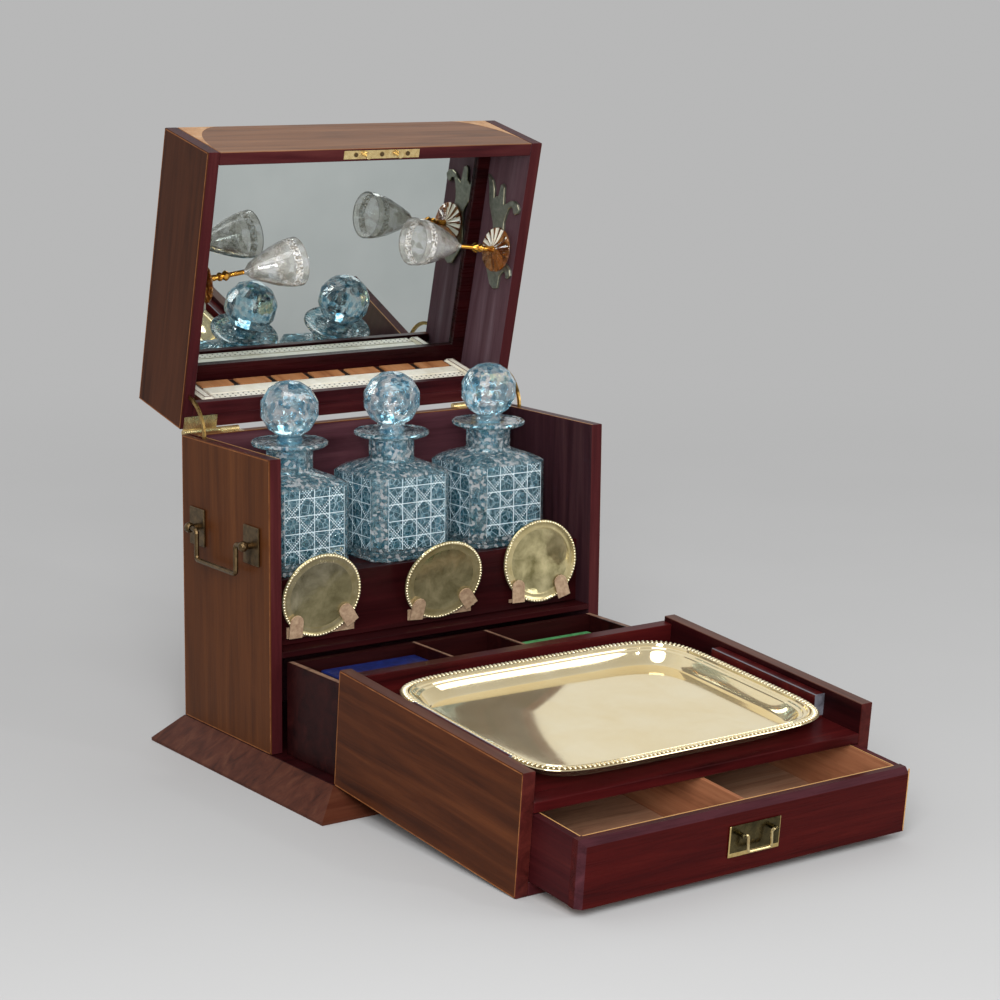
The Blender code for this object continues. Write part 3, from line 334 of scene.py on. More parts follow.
def cutLook(name, clear, ground):
    # Cut crystal: a clear body with thin lines and slanting double rows of notches, painted pale and less
    # clear as the cuts' highlights, read from the UV map, where one unit is one cell of the pattern.
    look = Look(name, 0.0)
    tree = look.tree
    axes = look.add("ShaderNodeSeparateXYZ", {"Vector": look.uv}).outputs
    u, v = axes[0], axes[1]

    def near(value, width, shift=0.0):
        return nearWhole(tree, value, shift, width, width * cutting["soft"])

    lines = sums(tree, "MAXIMUM", near(u, cutting["line"]), near(v, cutting["line"], cutting["levelShift"]))
    # A net of bright lines over the body: a painted image of the far side's cuts seen through the glass.
    net = look.add("ShaderNodeTexVoronoi", {"Vector": look.place, "Scale": cutting["net"]},
                   feature="DISTANCE_TO_EDGE").outputs[0]
    shining = look.range(net, 0.0, 1.0, 0.07, 0.02)
    lines = sums(tree, "MAXIMUM", lines, sums(tree, "MULTIPLY", shining, cutting["netShare"]))
    rising, falling = slants(tree, u, v)
    for across, along in ((rising, falling), (falling, rising)):
        away = sums(tree, "PINGPONG", sums(tree, "ADD", across, cutting["bandShift"]), 0.5)
        edge = sums(tree, "MULTIPLY", sums(tree, "LESS_THAN", away, cutting["band"]),
                    sums(tree, "GREATER_THAN", away, cutting["band"] * cutting["hollow"]))
        notch = near(sums(tree, "MULTIPLY", along, cutting["notches"]), cutting["notch"])
        lines = sums(tree, "MAXIMUM", lines, sums(tree, "MULTIPLY", edge, notch))
    # The pale colour of the lines is a painted highlight of the cuts.
    look.set("Base Color", look.mix(lines, clear, ground))
    look.set("Roughness", look.range(lines, *cutting["gloss"]))
    look.bump(sums(tree, "SUBTRACT", 1.0, lines), 0.7, 0.0006)
    return glassy(look, look.range(lines, *cutting["clear"]))


def plainCoat(name, dark, light, roughness, scale=60):
    # A plain material with faint clouds of age and a fine grit that breaks up its gloss.
    look = Look(name, roughness)
    cloud = look.noise(look.place, scale, 5, 0.6)
    grit = look.noise(look.place, scale * 12, 2)
    look.set("Base Color", look.ramp(cloud, [(0.3, dark), (0.7, light)]))
    look.set("Roughness", look.range(grit, roughness - 0.08, roughness + 0.08))
    look.set("Specular IOR Level", 0.3)
    look.bump(grit, 0.15, 0.0003)
    return look.material


lidHinge = (sizes["lidAxis"], sizes["lidOpen"])
fallHinge = (sizes["fallAxis"], sizes["fallOpen"])
drawerHinge = fallHinge + (sizes["cigarPull"],)
deep = ("#180608", "#2d0c0e", "#421416")
inside = ("#26151a", "#3c2228", "#503436")
brown = ("#452210", "#69391d", "#82502c")
edgeRed = ("#2a0e12", "#471a1d", "#5f2d2c")
# The cedar tones are lightened beyond the wood's own colour: painted light inside the open drawer.
cedarTones, wallTones = ("#a5745a", "#d09c7b", "#e8bd9b"), ("#7a4c35", "#a56c4c", "#c58d67")
inBoards, inEdge = {"side": (0, 0.2052)}, {"side": (0.1926, 0.2052)}
insideBack = {"y": (0, 0.1468), "z": (0, 0.3242)}
lidEdges = {"y": (front + 0.0006, back - 0.0006), "z": (0.3, 0.4163)}
chamferHighlight = {"z": (fallEnd - 0.0056, fallEnd - 0.0001)}
plateMiddle = {"x": (-0.0258, 0.0318), "y": (-0.1130, -0.0853)}
looks = {
    # Brown waxed veneers outside, with deep red boards, faces and edges inside
    "sideVeneer": wood("waxed side veneer", ("#3f200f", "#583016", "#6a3d1e"), "Z", None, 0.34, 0.8, (
        (inside, "Z", inBoards), (edgeRed, "Z", inEdge))),
    "caseVeneer": wood("waxed case veneer", brown, "X", None, 0.32, 1.0, (
        (("#371c22", "#522e35", "#6e484d"), "X", insideBack),)),
    "plinthVeneer": wood("waxed plinth veneer", ("#33170f", "#50291c", "#673e2c"), "X"),
    "innerRed": wood("polished inner mahogany", deep, "X", None, 0.28),
    "gamesRed": wood("games drawer mahogany", ("#140507", "#280c0c", "#381412"), "X", None, 0.36),
    "lidVeneer": wood("waxed lid veneer", ("#4f3321", "#835a3e", "#a17453"), "X", lidHinge, 0.30, 1.0, (
        (edgeRed, "X", lidEdges),)),
    # The lid sides' inner faces are grey-purple, with paler mottling painted in as highlights.
    "lidSideVeneer": wood(
        "waxed lid side veneer", ("#2f160b", "#472514", "#5a321e"), "Y", lidHinge, 0.34, 1.0,
        ((("#4b343a", "#5f444b", "#776169"), "Y", inBoards), (edgeRed, "Y", inEdge))),
    "lidRed": wood("polished lid mahogany", deep, "X", lidHinge, 0.26),
    "fallVeneer": wood("waxed fall veneer", brown, "Z", fallHinge, 0.30, 1.0, (
        (edgeRed, "Z", {"z": (fallEnd - 0.0015, 1)}),)),
    "fallSideVeneer": wood(
        "waxed fall side veneer", ("#331609", "#4d2611", "#66371b"), "Z", fallHinge, 0.32, 1.0,
        ((deep, "Z", inBoards), (("#3b2420", "#5b3a30", "#775140"), "Z", inEdge),
         (("#300f0e", "#4c1c19", "#642a23"), "Z", {"z": (fallEnd - 0.0008, 1)}))),
    "fallRed": wood("polished fall mahogany", ("#22090a", "#471213", "#621f1b"), "X", fallHinge, 0.28),
    # The drawer front's bevelled band is painted greyer and paler as a highlight.
    "drawerRed": wood(
        "polished drawer mahogany", ("#290507", "#420b0a", "#551511"), "X", drawerHinge, 0.26, 0.7,
        ((("#2c1419", "#472329", "#603238"), "X", chamferHighlight),)),
    "cedar": wood("open cedar lining", cedarTones, "X", drawerHinge, 0.55, 1.6, (
        (wallTones, "Z", {"x": (-0.0025, 0.0025)}),)),
    "drawerWalls": wood("cedar drawer walls", ("#22090c", "#3c1114", "#55201e"), "Z", drawerHinge, 0.5, 1.4, (
        (wallTones, "Z", {"side": (0, 0.1915)}), (edgeRed, "Z", {"y": (front + 0.0762, 0)}))),
    # Pale inlays, pale drawer tops and the painted grey highlights on the tray's rests, which draw the
    # outlines
    "boxwood": wood("boxwood line", ("#66391f", "#8a5530", "#a87348"), "X", None, 0.35),
    "paleLine": wood("pale boxwood line", ("#9a6c45", "#c8975f", "#e0b880"), "X", None, 0.35),
    "satinwood": wood("satinwood corner", ("#a9744a", "#cf9e70", "#e6c197"), "Y", lidHinge, 0.33),
    "restHighlight": wood("painted grey rest highlight", ("#4c4a52", "#7a7a84", "#a3a6ad"), "Z", fallHinge, 0.3),
    "paleEdge": wood("pale drawer top strip", ("#5b3d33", "#8b6a58", "#a98a74"), "X", None, 0.4),
    "tan": wood("tan squares", ("#8a4f2c", "#c08254", "#d79f70"), "Z", lidHinge, 0.35),
    "cribWood": wood("cribbage board wood", ("#3a1a14", "#6b3a2c", "#8d5c48"), "X", lidHinge, 0.35),
    # Old brass, from dark handles to bright hinges, and the grey-green of bare brackets
    "brass": metal("aged brass", "#75592f", "#cba763", 0.28, 0.5, 120),
    "hingeBrass": metal("bright hinge brass", "#b7965a", "#f0dca4", 0.26, 0.6, 130, metallic=0.8),
    "darkBrass": metal("dark brass", "#3c3222", "#80694a", 0.36, 0.5, 150),
    # The handle plate's bright edges round its darker middle are painted highlights on its bevels.
    "plateBrass": metal("olive handle plate", "#b79a5a", "#e8cf92", 0.24, 0.6, 120, frame=(
        drawerHinge, plateMiddle, "#3c3624", "#63583a")),
    "bailBrass": metal("pale bail brass", "#a98f58", "#ecd9a6", 0.22, 0.6, 120),
    "patina": metal("grey-green bracket", "#5a5e52", "#94958a", 0.42, 0.6, 200, metallic=0.7),
    "patinaEdge": metal("rubbed bracket edge", "#8f8c72", "#d0ccb0", 0.34, 0.6, 200),
    # Pale gilding: a mirror-like well whose dark and pale clouds are partly painted reflections, frosted
    # beads that catch the light, a border painted paler as its highlight, and a dark groove behind them
    # painted as shade
    "gilt": metal("bright gilt", "#efd9a4", "#fbf0cf", 0.06, 0.8, 14, 0.015, metallic=0.8),
    # The coaster well's dark and pale clouds are partly painted reflections.
    "coasterGilt": metal("polished coaster gilt", "#6c6438", "#efe1ae", 0.06, 0.5, 40, 0.45, metallic=0.72),
    "coasterBorder": metal("frosted coaster border with painted highlight", "#a8965e", "#eee0b0", 0.2, 0.7, 60, 0.12, metallic=0.7),
    "grooveGilt": metal("shaded gilt groove", "#5f4a20", "#8f7434", 0.3, 0.7, 60, metallic=0.8),
    "giltRim": metal("frosted gilt rim", "#f2e0b0", "#fff6da", 0.22, 0.7, 60, metallic=0.7),
    "stemGold": metal("gilded stem", "#c9862a", "#f0b95a", 0.16, 0.6, 90),
    # Glass: cold blue-white crystal, and thin colourless bowls on amber feet
    "crystal": glassLook("cut crystal", "#bfe9f4", "#ffffff", "#6fb2c8", 0.0, 0.9, 300, glints=0.2),
    "stopperCrystal": glassLook("bright crystal", "#c8f0fc", "#ffffff", "#68accb", 0.0, 0.84, 190,
                                glints=0.08),
    "clearGlass": glassLook("clear glass", "#f8f6f0", "#ffffff", "#d6d4cc", 0.0, 0.84, 130),
    "etchedGlass": glassLook("etched glass", "#f8f5ee", "#ffffff", "#b4ada0", 0.1, 0.84, 420, 0.08),
    "amberGlass": glassLook("amber glass", "#c8792f", "#e8a862", "#8c4a1c", 0.05, 0.8, 160),
    "cutLines": cutLook("crystal with cut lines", "#86c6da", "#ecfaff"),
    # Small plain parts
    "clip": plainCoat("worn lacquered clip", "#93765e", "#c2a688", 0.42, 220),
    "bone": plainCoat("polished bone", "#e4dcc6", "#faf6ea", 0.35, 90),
    "dark": plainCoat("dark slots", "#0e0a0a", "#241816", 0.5),
    "blueCard": plainCoat("blue paper", "#0a1442", "#18296c", 0.42, 140),
    "greenCard": plainCoat("green paper", "#2a7040", "#5fa86c", 0.42, 140),
}
mirrorLook = Look("silvered mirror", 0.015, 1.0)
mirrorHaze = mirrorLook.noise(mirrorLook.place, 9, 3)
mirrorLook.set("Base Color", mirrorLook.ramp(mirrorHaze, [(0.2, "#bcc4c2"), (0.8, "#d0d6d4")]))
looks["mirror"] = mirrorLook.material

nodeLooks = {
    "sideVeneer": "side_left side_right", "caseVeneer": "back_panel", "plinthVeneer": "plinth_moulding",
    "innerRed": "base_board dust_board decanter_shelf", "gamesRed": "games_walls games_bottom",
    "lidVeneer": "lid_shell", "lidSideVeneer": "lid_side_left lid_side_right", "lidRed": "mirror_frame",
    "mirror": "mirror_glass", "fallVeneer": "fall_panel", "fallSideVeneer": "fall_side_left fall_side_right",
    "fallRed": "fall_platform", "drawerRed": "cigar_front", "cedar": "cigar_bottom",
    "drawerWalls": "cigar_walls", "bailBrass": "cigar_bail", "plateBrass": "cigar_handle_plate",
    "brass": "fall_hinge_case_leaf_left fall_hinge_case_leaf_right fall_hinge_fall_leaf_left "
             "fall_hinge_fall_leaf_right lid_stay_left lid_stay_right",
    "hingeBrass": "lid_hinge_case_leaf_left lid_hinge_case_leaf_right lid_hinge_lid_leaf_left "
                  "lid_hinge_lid_leaf_right lock_link_plate",
    "darkBrass": "bail_left bail_right carry_plate_front_left carry_plate_front_right "
                 "carry_plate_back_left carry_plate_back_right",
    "clip": "coaster_clips_left coaster_clips_middle coaster_clips_right",
    "blueCard": "card_pack_blue", "greenCard": "card_pack_green",
}
for look, names in nodeLooks.items():
    for name in names.split():
        nodes[name].data.materials.clear()
        nodes[name].data.materials.append(looks[look])
print("looks made")


# Shapes. A turned profile closes at this small radius, and an edge is sharp from this angle on.
shaping = {"pole": 0.00005, "sharp": 34}


def pieceOf(name, mesh, body, place=None):
    if place:
        mesh.transform(place)
        if place.determinant() < 0:
            mesh.flip_normals()
    thing = bpy.data.objects.new(name, mesh)
    bpy.context.scene.collection.objects.link(thing)
    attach(thing, body)
    return thing


def meshOf(name, bm, names, smooth=False):
    bmesh.ops.recalc_face_normals(bm, faces=bm.faces)
    mesh = bpy.data.meshes.new(name)
    bm.to_mesh(mesh)
    bm.free()
    for look in names:
        mesh.materials.append(looks[look])
    if smooth:
        mesh.shade_smooth()
        mesh.set_sharp_from_angle(angle=math.radians(shaping["sharp"]))
    return mesh


def meshObject(name, bm, names, body, place=None, smooth=False):
    return pieceOf(name, meshOf(name, bm, names, smooth), body, place)


def addBox(bm, low, high, edge=0.0, index=0):
    low, high = Vector(low), Vector(high)
    known = set(bm.faces)
    made = bmesh.ops.create_cube(bm, size=1.0)["verts"]
    bmesh.ops.scale(bm, vec=high - low, verts=made)
    bmesh.ops.translate(bm, vec=(low + high) / 2, verts=made)
    if edge:
        edges = list({e for v in made for e in v.link_edges})
        bmesh.ops.bevel(bm, geom=edges, offset=edge, segments=2, affect="EDGES")
    for face in bm.faces:
        if face not in known:
            face.material_index = index


def loft(bm, rings):
    levels = [[bm.verts.new(point) for point in ring] for ring in rings]
    count = len(rings[0])
    for lower, upper in zip(levels, levels[1:]):
        for i in range(count):
            bm.faces.new((lower[i], lower[(i + 1) % count], upper[(i + 1) % count], upper[i]))
    bm.faces.new(list(reversed(levels[0])))
    bm.faces.new(levels[-1])


def circleRing(radius, height, steps):
    radius = max(radius, shaping["pole"])
    angles = [2 * math.pi * i / steps for i in range(steps)]
    return [Vector((radius * math.cos(angle), radius * math.sin(angle), height)) for angle in angles]


def spun(bm, profile, steps):
    loft(bm, [circleRing(radius, height, steps) for radius, height in profile])


def prism(bm, points, depth, edge):
    # A flat outline in X and Y with its front at Z 0, its back at -depth and its front edge cut back. The cut
    # edge has the second material.
    face = bm.faces.new([bm.verts.new((x, y, 0)) for x, y in points])
    if face.normal.z < 0:
        face.normal_flip()
    made = bmesh.ops.extrude_face_region(bm, geom=[face])["geom"]
    bmesh.ops.translate(bm, vec=(0, 0, -depth), verts=[g for g in made if isinstance(g, bmesh.types.BMVert)])
    rim = [e for e in bm.edges if all(abs(v.co.z) < depth * 0.01 for v in e.verts)]
    cut = bmesh.ops.bevel(bm, geom=rim, offset=edge, segments=1, affect="EDGES")
    for face in cut["faces"]:
        face.material_index = 1


# Geometry Nodes
def growth(name, inputs):
    tree = bpy.data.node_groups.new(name, "GeometryNodeTree")
    tree.interface.new_socket("Geometry", in_out="INPUT", socket_type="NodeSocketGeometry")
    for key, kind in inputs.items():
        tree.interface.new_socket(key, in_out="INPUT", socket_type="NodeSocket" + kind)
    tree.interface.new_socket("Geometry", in_out="OUTPUT", socket_type="NodeSocketGeometry")
    return tree, tree.nodes.new("NodeGroupInput").outputs, tree.nodes.new("NodeGroupOutput").inputs[0]


def grown(mesh, tree, values):
    # Runs a tree on a mesh and gives its result as a plain mesh.
    thing = bpy.data.objects.new(tree.name, mesh)
    bpy.context.scene.collection.objects.link(thing)
    modifier = thing.modifiers.new(tree.name, "NODES")
    modifier.node_group = tree
    for item in tree.interface.items_tree:
        if item.in_out == "INPUT" and item.name in values:
            modifier[item.identifier] = values[item.name]
    graph = bpy.context.evaluated_depsgraph_get()
    result = bpy.data.meshes.new_from_object(thing.evaluated_get(graph), depsgraph=graph)
    thing.modifiers.remove(modifier)
    bpy.data.objects.remove(thing)
    return result


def rowTree(name, kind, counts):
    # Repeats a small shape at even steps along a line. Each one is turned to the line's direction, and its
    # own Z axis points along Up.
    inputs = {"Spacing": "Float", "Size": "Vector", "Up": "Vector", "Finish": "Material"}
    tree, given, result = growth(name, inputs)
    line = addNode(tree, "GeometryNodeMeshToCurve", {"Mesh": given["Geometry"]}).outputs[0]
    even = addNode(tree, "GeometryNodeResampleCurve", {"Curve": line, "Length": given["Spacing"]},
                   mode="LENGTH").outputs[0]
    tangent = addNode(tree, "GeometryNodeInputTangent").outputs[0]
    turned = addNode(tree, "FunctionNodeAlignRotationToVector", {"Vector": tangent}, axis="X").outputs[0]
    turned = addNode(tree, "FunctionNodeAlignRotationToVector", {"Rotation": turned, "Vector": given["Up"]},
                     axis="Z", pivot_axis="X").outputs[0]
    row = addNode(tree, "GeometryNodeInstanceOnPoints", {
        "Points": even, "Instance": addNode(tree, kind, counts).outputs[0], "Rotation": turned,
        "Scale": given["Size"]}).outputs[0]
    real = addNode(tree, "GeometryNodeRealizeInstances", {"Geometry": row}).outputs[0]
    finish = addNode(tree, "GeometryNodeSetMaterial", {"Geometry": real, "Material": given["Finish"]})
    tree.links.new(finish.outputs[0], result)
    return tree


beadRow = rowTree("bead row", "GeometryNodeMeshUVSphere", {"Segments": 8, "Rings": 5, "Radius": 1.0})
blockRow = rowTree("block row", "GeometryNodeMeshCube", {"Size": (1.0, 1.0, 1.0)})
pegRow = rowTree("peg row", "GeometryNodeMeshCylinder", {"Vertices": 8, "Radius": 1.0, "Depth": 1.0})


def row(name, tree, points, closed, spacing, size, upward, look, body, slot, place=None, smooth=True):
    line = bpy.data.meshes.new(name)
    count = len(points)
    line.from_pydata(points, [(i, (i + 1) % count) for i in range(count if closed else count - 1)], [])
    mesh = grown(line, tree, {"Spacing": spacing, "Size": size, "Up": upward, "Finish": looks[look]})
    if smooth:
        mesh.shade_smooth()
    return pieceOf(name, mesh, body, place)


# Light inlaid lines: thin bars let into the veneer
line = {
    "width": 0.0011, "proud": 0.00012, "inset": 0.0006, "depth": 0.0008, "rimIn": 0.0006, "rimOut": 0.0018,
    "rimStart": 0.001, "footGap": 0.0003, "fallGap": 0.0005,
}
proud, depth = line["proud"], line["depth"]


def bars(name, parts, body, place=None, look="boxwood"):
    bm = bmesh.new()
    for low, high in parts:
        addBox(bm, low, high)
    return meshObject(name, bm, [look], body, place)


def sideLines(name, sign, y0, y1, z0, z1, body, place=None):
    # Lines round the edges of a side board's outer face
    face, width, inset = sign * halfWidth, line["width"], line["inset"]
    x0, x1 = sorted((face - sign * depth, face + sign * proud))
    y0, y1, z0, z1 = y0 + inset, y1 - inset, z0 + inset, z1 - inset
    bars(name, [((x0, y0, z0), (x1, y1, z0 + width)), ((x0, y0, z1 - width), (x1, y1, z1)),
                ((x0, y0, z0), (x1, y0 + width, z1)), ((x0, y1 - width, z0), (x1, y1, z1))], body, place)


for sign, side in ((-1, "left"), (1, "right")):
    sideLines("line_side_" + side, sign, mainFront, back, sizes["foot"] + line["footGap"], caseTop, "case")
    sideLines("line_lid_side_" + side, sign, front, back, rim, rim + sizes["lidHeight"], "lid", lidPlace)
    sideLines("line_fall_side_" + side, sign, front, front + sizes["fallThick"], fallLow + line["fallGap"],
              fallEnd, "fall", fallPlace)
rimIn, rimOut, start = line["rimIn"], line["rimOut"], mainFront + line["rimStart"]
low, high = caseTop - depth, caseTop + proud
bars("line_rim", [
    ((-innerHalf, backInner + rimIn, low), (innerHalf, backInner + rimOut, high)),
    ((innerHalf + rimIn, start, low), (innerHalf + rimOut, backInner, high)),
    ((-innerHalf - rimOut, start, low), (-innerHalf - rimIn, backInner, high))],
    "case", None, "paleLine")
print("lines made")

# Decanters: square bodies cut all over with crossing lines, a fluted neck and a wide dished lip. The foot's
# rings have insets and heights, the neck's have radii, heights and a 1 where they are fluted, and the
# hollow's rings have half widths and heights.
low3, high3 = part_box("decanter_middle")
decanter = {
    "pitch": 0.125, "y": (low3.y + high3.y) / 2, "z": low3.z, "half": 0.049, "corner": 0.0135, "steps": 80,
    "foot": ((0.0012, 0), (0, 0.0012), (0, 0.0035), (0.0012, 0.0047), (0, 0.0059), (0, 0.0094),
             (0.0012, 0.0106), (0, 0.0119)),
    "start": 0.0125, "rows": 85, "fadeRows": 2, "fadeSide": 0.001, "top": (0.0024, 0.090),
    "shoulders": 6, "bulge": 0.0012, "flutes": 16, "fluteDepth": 0.0008,
    "neck": ((0.0266, 0.0998, 0), (0.0242, 0.1022, 1), (0.0242, 0.1125, 1), (0.0242, 0.1214, 1),
             (0.0266, 0.1240, 0), (0.0345, 0.1246, 0), (0.0383, 0.1264, 0), (0.0395, 0.1276, 0),
             (0.0395, 0.1298, 0), (0.0383, 0.1310, 0), (0.0335, 0.1300, 0), (0.0175, 0.1294, 0),
             (0.0135, 0.1286, 0), (0.0135, 0.1010, 0)),
    "hollow": ((0.0415, 0.0845), (0.0435, 0.0815), (0.0435, 0.0150), (0.0405, 0.0120)),
    "hollowCorner": 0.0107,
}


def squareRing(half, corner, height, steps):
    # Evenly spaced points round a square with cut corners, each with its outward normal and its place on the
    # face.
    side = (half - corner) * 2
    points = []
    for quarter in range(4):
        turn = Matrix.Rotation(quarter * math.pi / 2, 4, "Z")
        for i in range(steps + 1):
            across = -side / 2 + side * i / steps
            points.append((turn @ Vector((half, across, height)), turn @ Vector((1, 0, 0)), across))
        for share in (1 / 3, 2 / 3):
            spot = Vector((half, side / 2, height)).lerp(Vector((side / 2, half, height)), share)
            points.append((turn @ spot, turn @ Vector((1, 1, 0)).normalized(), None))
    return points


def cutTree():
    # Sinks the lines and the slanting bands of the pattern into the plain faces.
    inputs = {"Cell": "Float", "Depth": "Float", "Line": "Float", "Level Shift": "Float", "Band": "Float",
              "Band Shift": "Float", "Plain": "Material", "Cut": "Material"}
    tree, given, result = growth("cut pattern", inputs)

    def stored(name, kind="FLOAT"):
        return addNode(tree, "GeometryNodeInputNamedAttribute", {"Name": name}, data_type=kind).outputs[0]

    u, v = (sums(tree, "DIVIDE", stored(key), given["Cell"]) for key in ("across", "rise"))
    deepest = sums(tree, "MAXIMUM", nearWhole(tree, u, 0.0, given["Line"], 0.0),
                   nearWhole(tree, v, given["Level Shift"], given["Line"], 0.0))
    for slant in slants(tree, u, v):
        band = nearWhole(tree, slant, given["Band Shift"], given["Band"], 0.0)
        deepest = sums(tree, "MAXIMUM", deepest, band)
    sunk = sums(tree, "MULTIPLY", sums(tree, "MULTIPLY", deepest, given["Depth"]), stored("fade"))
    inward = addNode(tree, "ShaderNodeVectorMath", {
        0: stored("outward", "FLOAT_VECTOR"), "Scale": sums(tree, "MULTIPLY", sunk, -1.0)}, operation="SCALE")
    moved = addNode(tree, "GeometryNodeSetPosition", {
        "Geometry": given["Geometry"], "Offset": inward.outputs[0]}).outputs[0]
    plain = addNode(tree, "GeometryNodeSetMaterial", {
        "Geometry": moved, "Material": given["Plain"]}).outputs[0]
    both = addNode(tree, "GeometryNodeSetMaterial", {
        "Geometry": plain, "Selection": sums(tree, "GREATER_THAN", stored("pattern"), 0.5),
        "Material": given["Cut"]})
    tree.links.new(both.outputs[0], result)
    return tree


def decanterMesh():
    d = decanter
    bm = bmesh.new()
    half, corner, steps, rows = d["half"], d["corner"], d["steps"], d["rows"]

    def plainRing(reach, height, cut=corner):
        return [p for p, normal, across in squareRing(reach, cut, height, steps)]

    rings = [plainRing(half - inset, height) for inset, height in d["foot"]]
    cellRow = cutting["cell"] / cutting["perCell"]
    firstCut = len(rings)
    rings += [plainRing(half, d["start"] + level * cellRow) for level in range(rows + 1)]
    top = plainRing(half - d["top"][0], d["top"][1])
    rings.append(top)

    def circle(radius, height, fluted):
        ring = []
        for p in top:
            angle = math.atan2(p.y, p.x)
            reach = radius - fluted * d["fluteDepth"] * (0.5 - 0.5 * math.cos(angle * d["flutes"]))
            ring.append(Vector((math.cos(angle) * reach, math.sin(angle) * reach, height)))
        return ring

    neck = [circle(*level) for level in d["neck"]]
    for i in range(1, d["shoulders"]):
        share = i / d["shoulders"]
        rise = Vector((0, 0, math.sin(share * math.pi) * d["bulge"]))
        rings.append([p.lerp(q, share) + rise for p, q in zip(top, neck[0])])
    rings += neck + [plainRing(reach, height, d["hollowCorner"]) for reach, height in d["hollow"]]
    loft(bm, rings)
    # What the pattern needs to know: each point's place on its face, its way in, and where the cuts fade out
    across, rise, fade = (bm.verts.layers.float.new(key) for key in ("across", "rise", "fade"))
    outward = bm.verts.layers.float_vector.new("outward")
    pattern = bm.faces.layers.float.new("pattern")
    uv = bm.loops.layers.uv.new("cells")
    bm.verts.ensure_lookup_table()
    marks = squareRing(half, corner, 0, steps)
    for level in range(rows + 1):
        for i, (p, normal, place) in enumerate(marks):
            if place is None:
                continue
            vertex = bm.verts[(firstCut + level) * len(marks) + i]
            vertex[across], vertex[rise], vertex[outward] = place, level * cellRow, normal
            vertex[fade] = max(0.001, min(1, level / d["fadeRows"], (rows - level) / d["fadeRows"],
                                          (half - corner - abs(place)) / d["fadeSide"]))
    for face in bm.faces:
        if len(face.verts) == 4 and all(v[fade] > 0 for v in face.verts):
            face[pattern] = 1.0
            for loop in face.loops:
                loop[uv].uv = (loop.vert[across] / cutting["cell"], loop.vert[rise] / cutting["cell"])
    return meshOf("decanter", bm, ["crystal", "cutLines"])


def cutBall(radius, blankShare, flats, share):
    # A ball ground flat in rows, as a cut stopper is
    bm = bmesh.new()
    bmesh.ops.create_icosphere(bm, subdivisions=4, radius=radius * blankShare)
    for latitude, count, start in flats:
        latitude = math.radians(latitude)
        for i in range(count):
            angle = 2 * math.pi * (i + start) / count
            normal = Vector((math.cos(latitude) * math.cos(angle), math.cos(latitude) * math.sin(angle),
                             math.sin(latitude)))
            cut = bmesh.ops.bisect_plane(
                bm, geom=bm.verts[:] + bm.edges[:] + bm.faces[:], plane_co=normal * radius * share,
                plane_no=normal, clear_outer=True, dist=1e-7)
            edges = [g for g in cut["geom_cut"] if isinstance(g, bmesh.types.BMEdge)]
            bmesh.ops.holes_fill(bm, edges=edges, sides=0)
    return bm


cutBody = grown(decanterMesh(), cutTree(), {
    "Cell": cutting["cell"], "Depth": cutting["depth"], "Line": cutting["line"],
    "Level Shift": cutting["levelShift"], "Band": cutting["band"], "Band Shift": cutting["bandShift"],
    "Plain": looks["crystal"], "Cut": looks["cutLines"]})
# Stoppers: the flats have a latitude, a count and a turn. The neck and the plug have radii and heights.
low3, high3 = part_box("stopper_middle")
stopper = {
    "radius": 0.0298, "middle": high3.z - 0.030, "blankShare": 1.06, "flatShare": 0.978, "turn": 0.3,
    "seat": 0.3236, "steps": 32,
    "flats": ((0, 16, 0.0), (30, 16, 0.5), (-30, 16, 0.5), (56, 12, 0.0), (-56, 12, 0.0), (77, 6, 0.5),
              (-77, 6, 0.5), (90, 1, 0.0)),
    "collar": (0.0098, -0.0268), "neck": ((0.0125, 0.0042), (0.0140, 0.0020), (0.0140, 0.0002), (0.0129, 0)),
    "plug": (0.0115, 0.0),
}
ball = cutBall(stopper["radius"], stopper["blankShare"], stopper["flats"], stopper["flatShare"])
bmesh.ops.translate(ball, vec=(0, 0, stopper["middle"]), verts=ball.verts)
spun(ball, [(stopper["collar"][0], stopper["middle"] + stopper["collar"][1])]
     + [(radius, stopper["seat"] + rise) for radius, rise in stopper["neck"]]
     + [(radius, low3.z) for radius in stopper["plug"]], stopper["steps"])
ballMesh = meshOf("ball", ball, ["stopperCrystal"])
for order, side in enumerate(("left", "middle", "right")):
    x = (order - 1) * decanter["pitch"]
    thing = pieceOf("cut_decanter_" + side, cutBody.copy(), "decanter_body_" + side,
                    Matrix.Translation((x, decanter["y"], decanter["z"])))
    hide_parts("decanter_" + side)
    turned = Matrix.Rotation(stopper["turn"] * order, 4, "Z")
    thing = pieceOf("cut_stopper_" + side, ballMesh.copy(), "stopper_body_" + side,
                    Matrix.Translation((x, decanter["y"], 0)) @ turned)
    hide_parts("stopper_" + side)
print("decanters made")
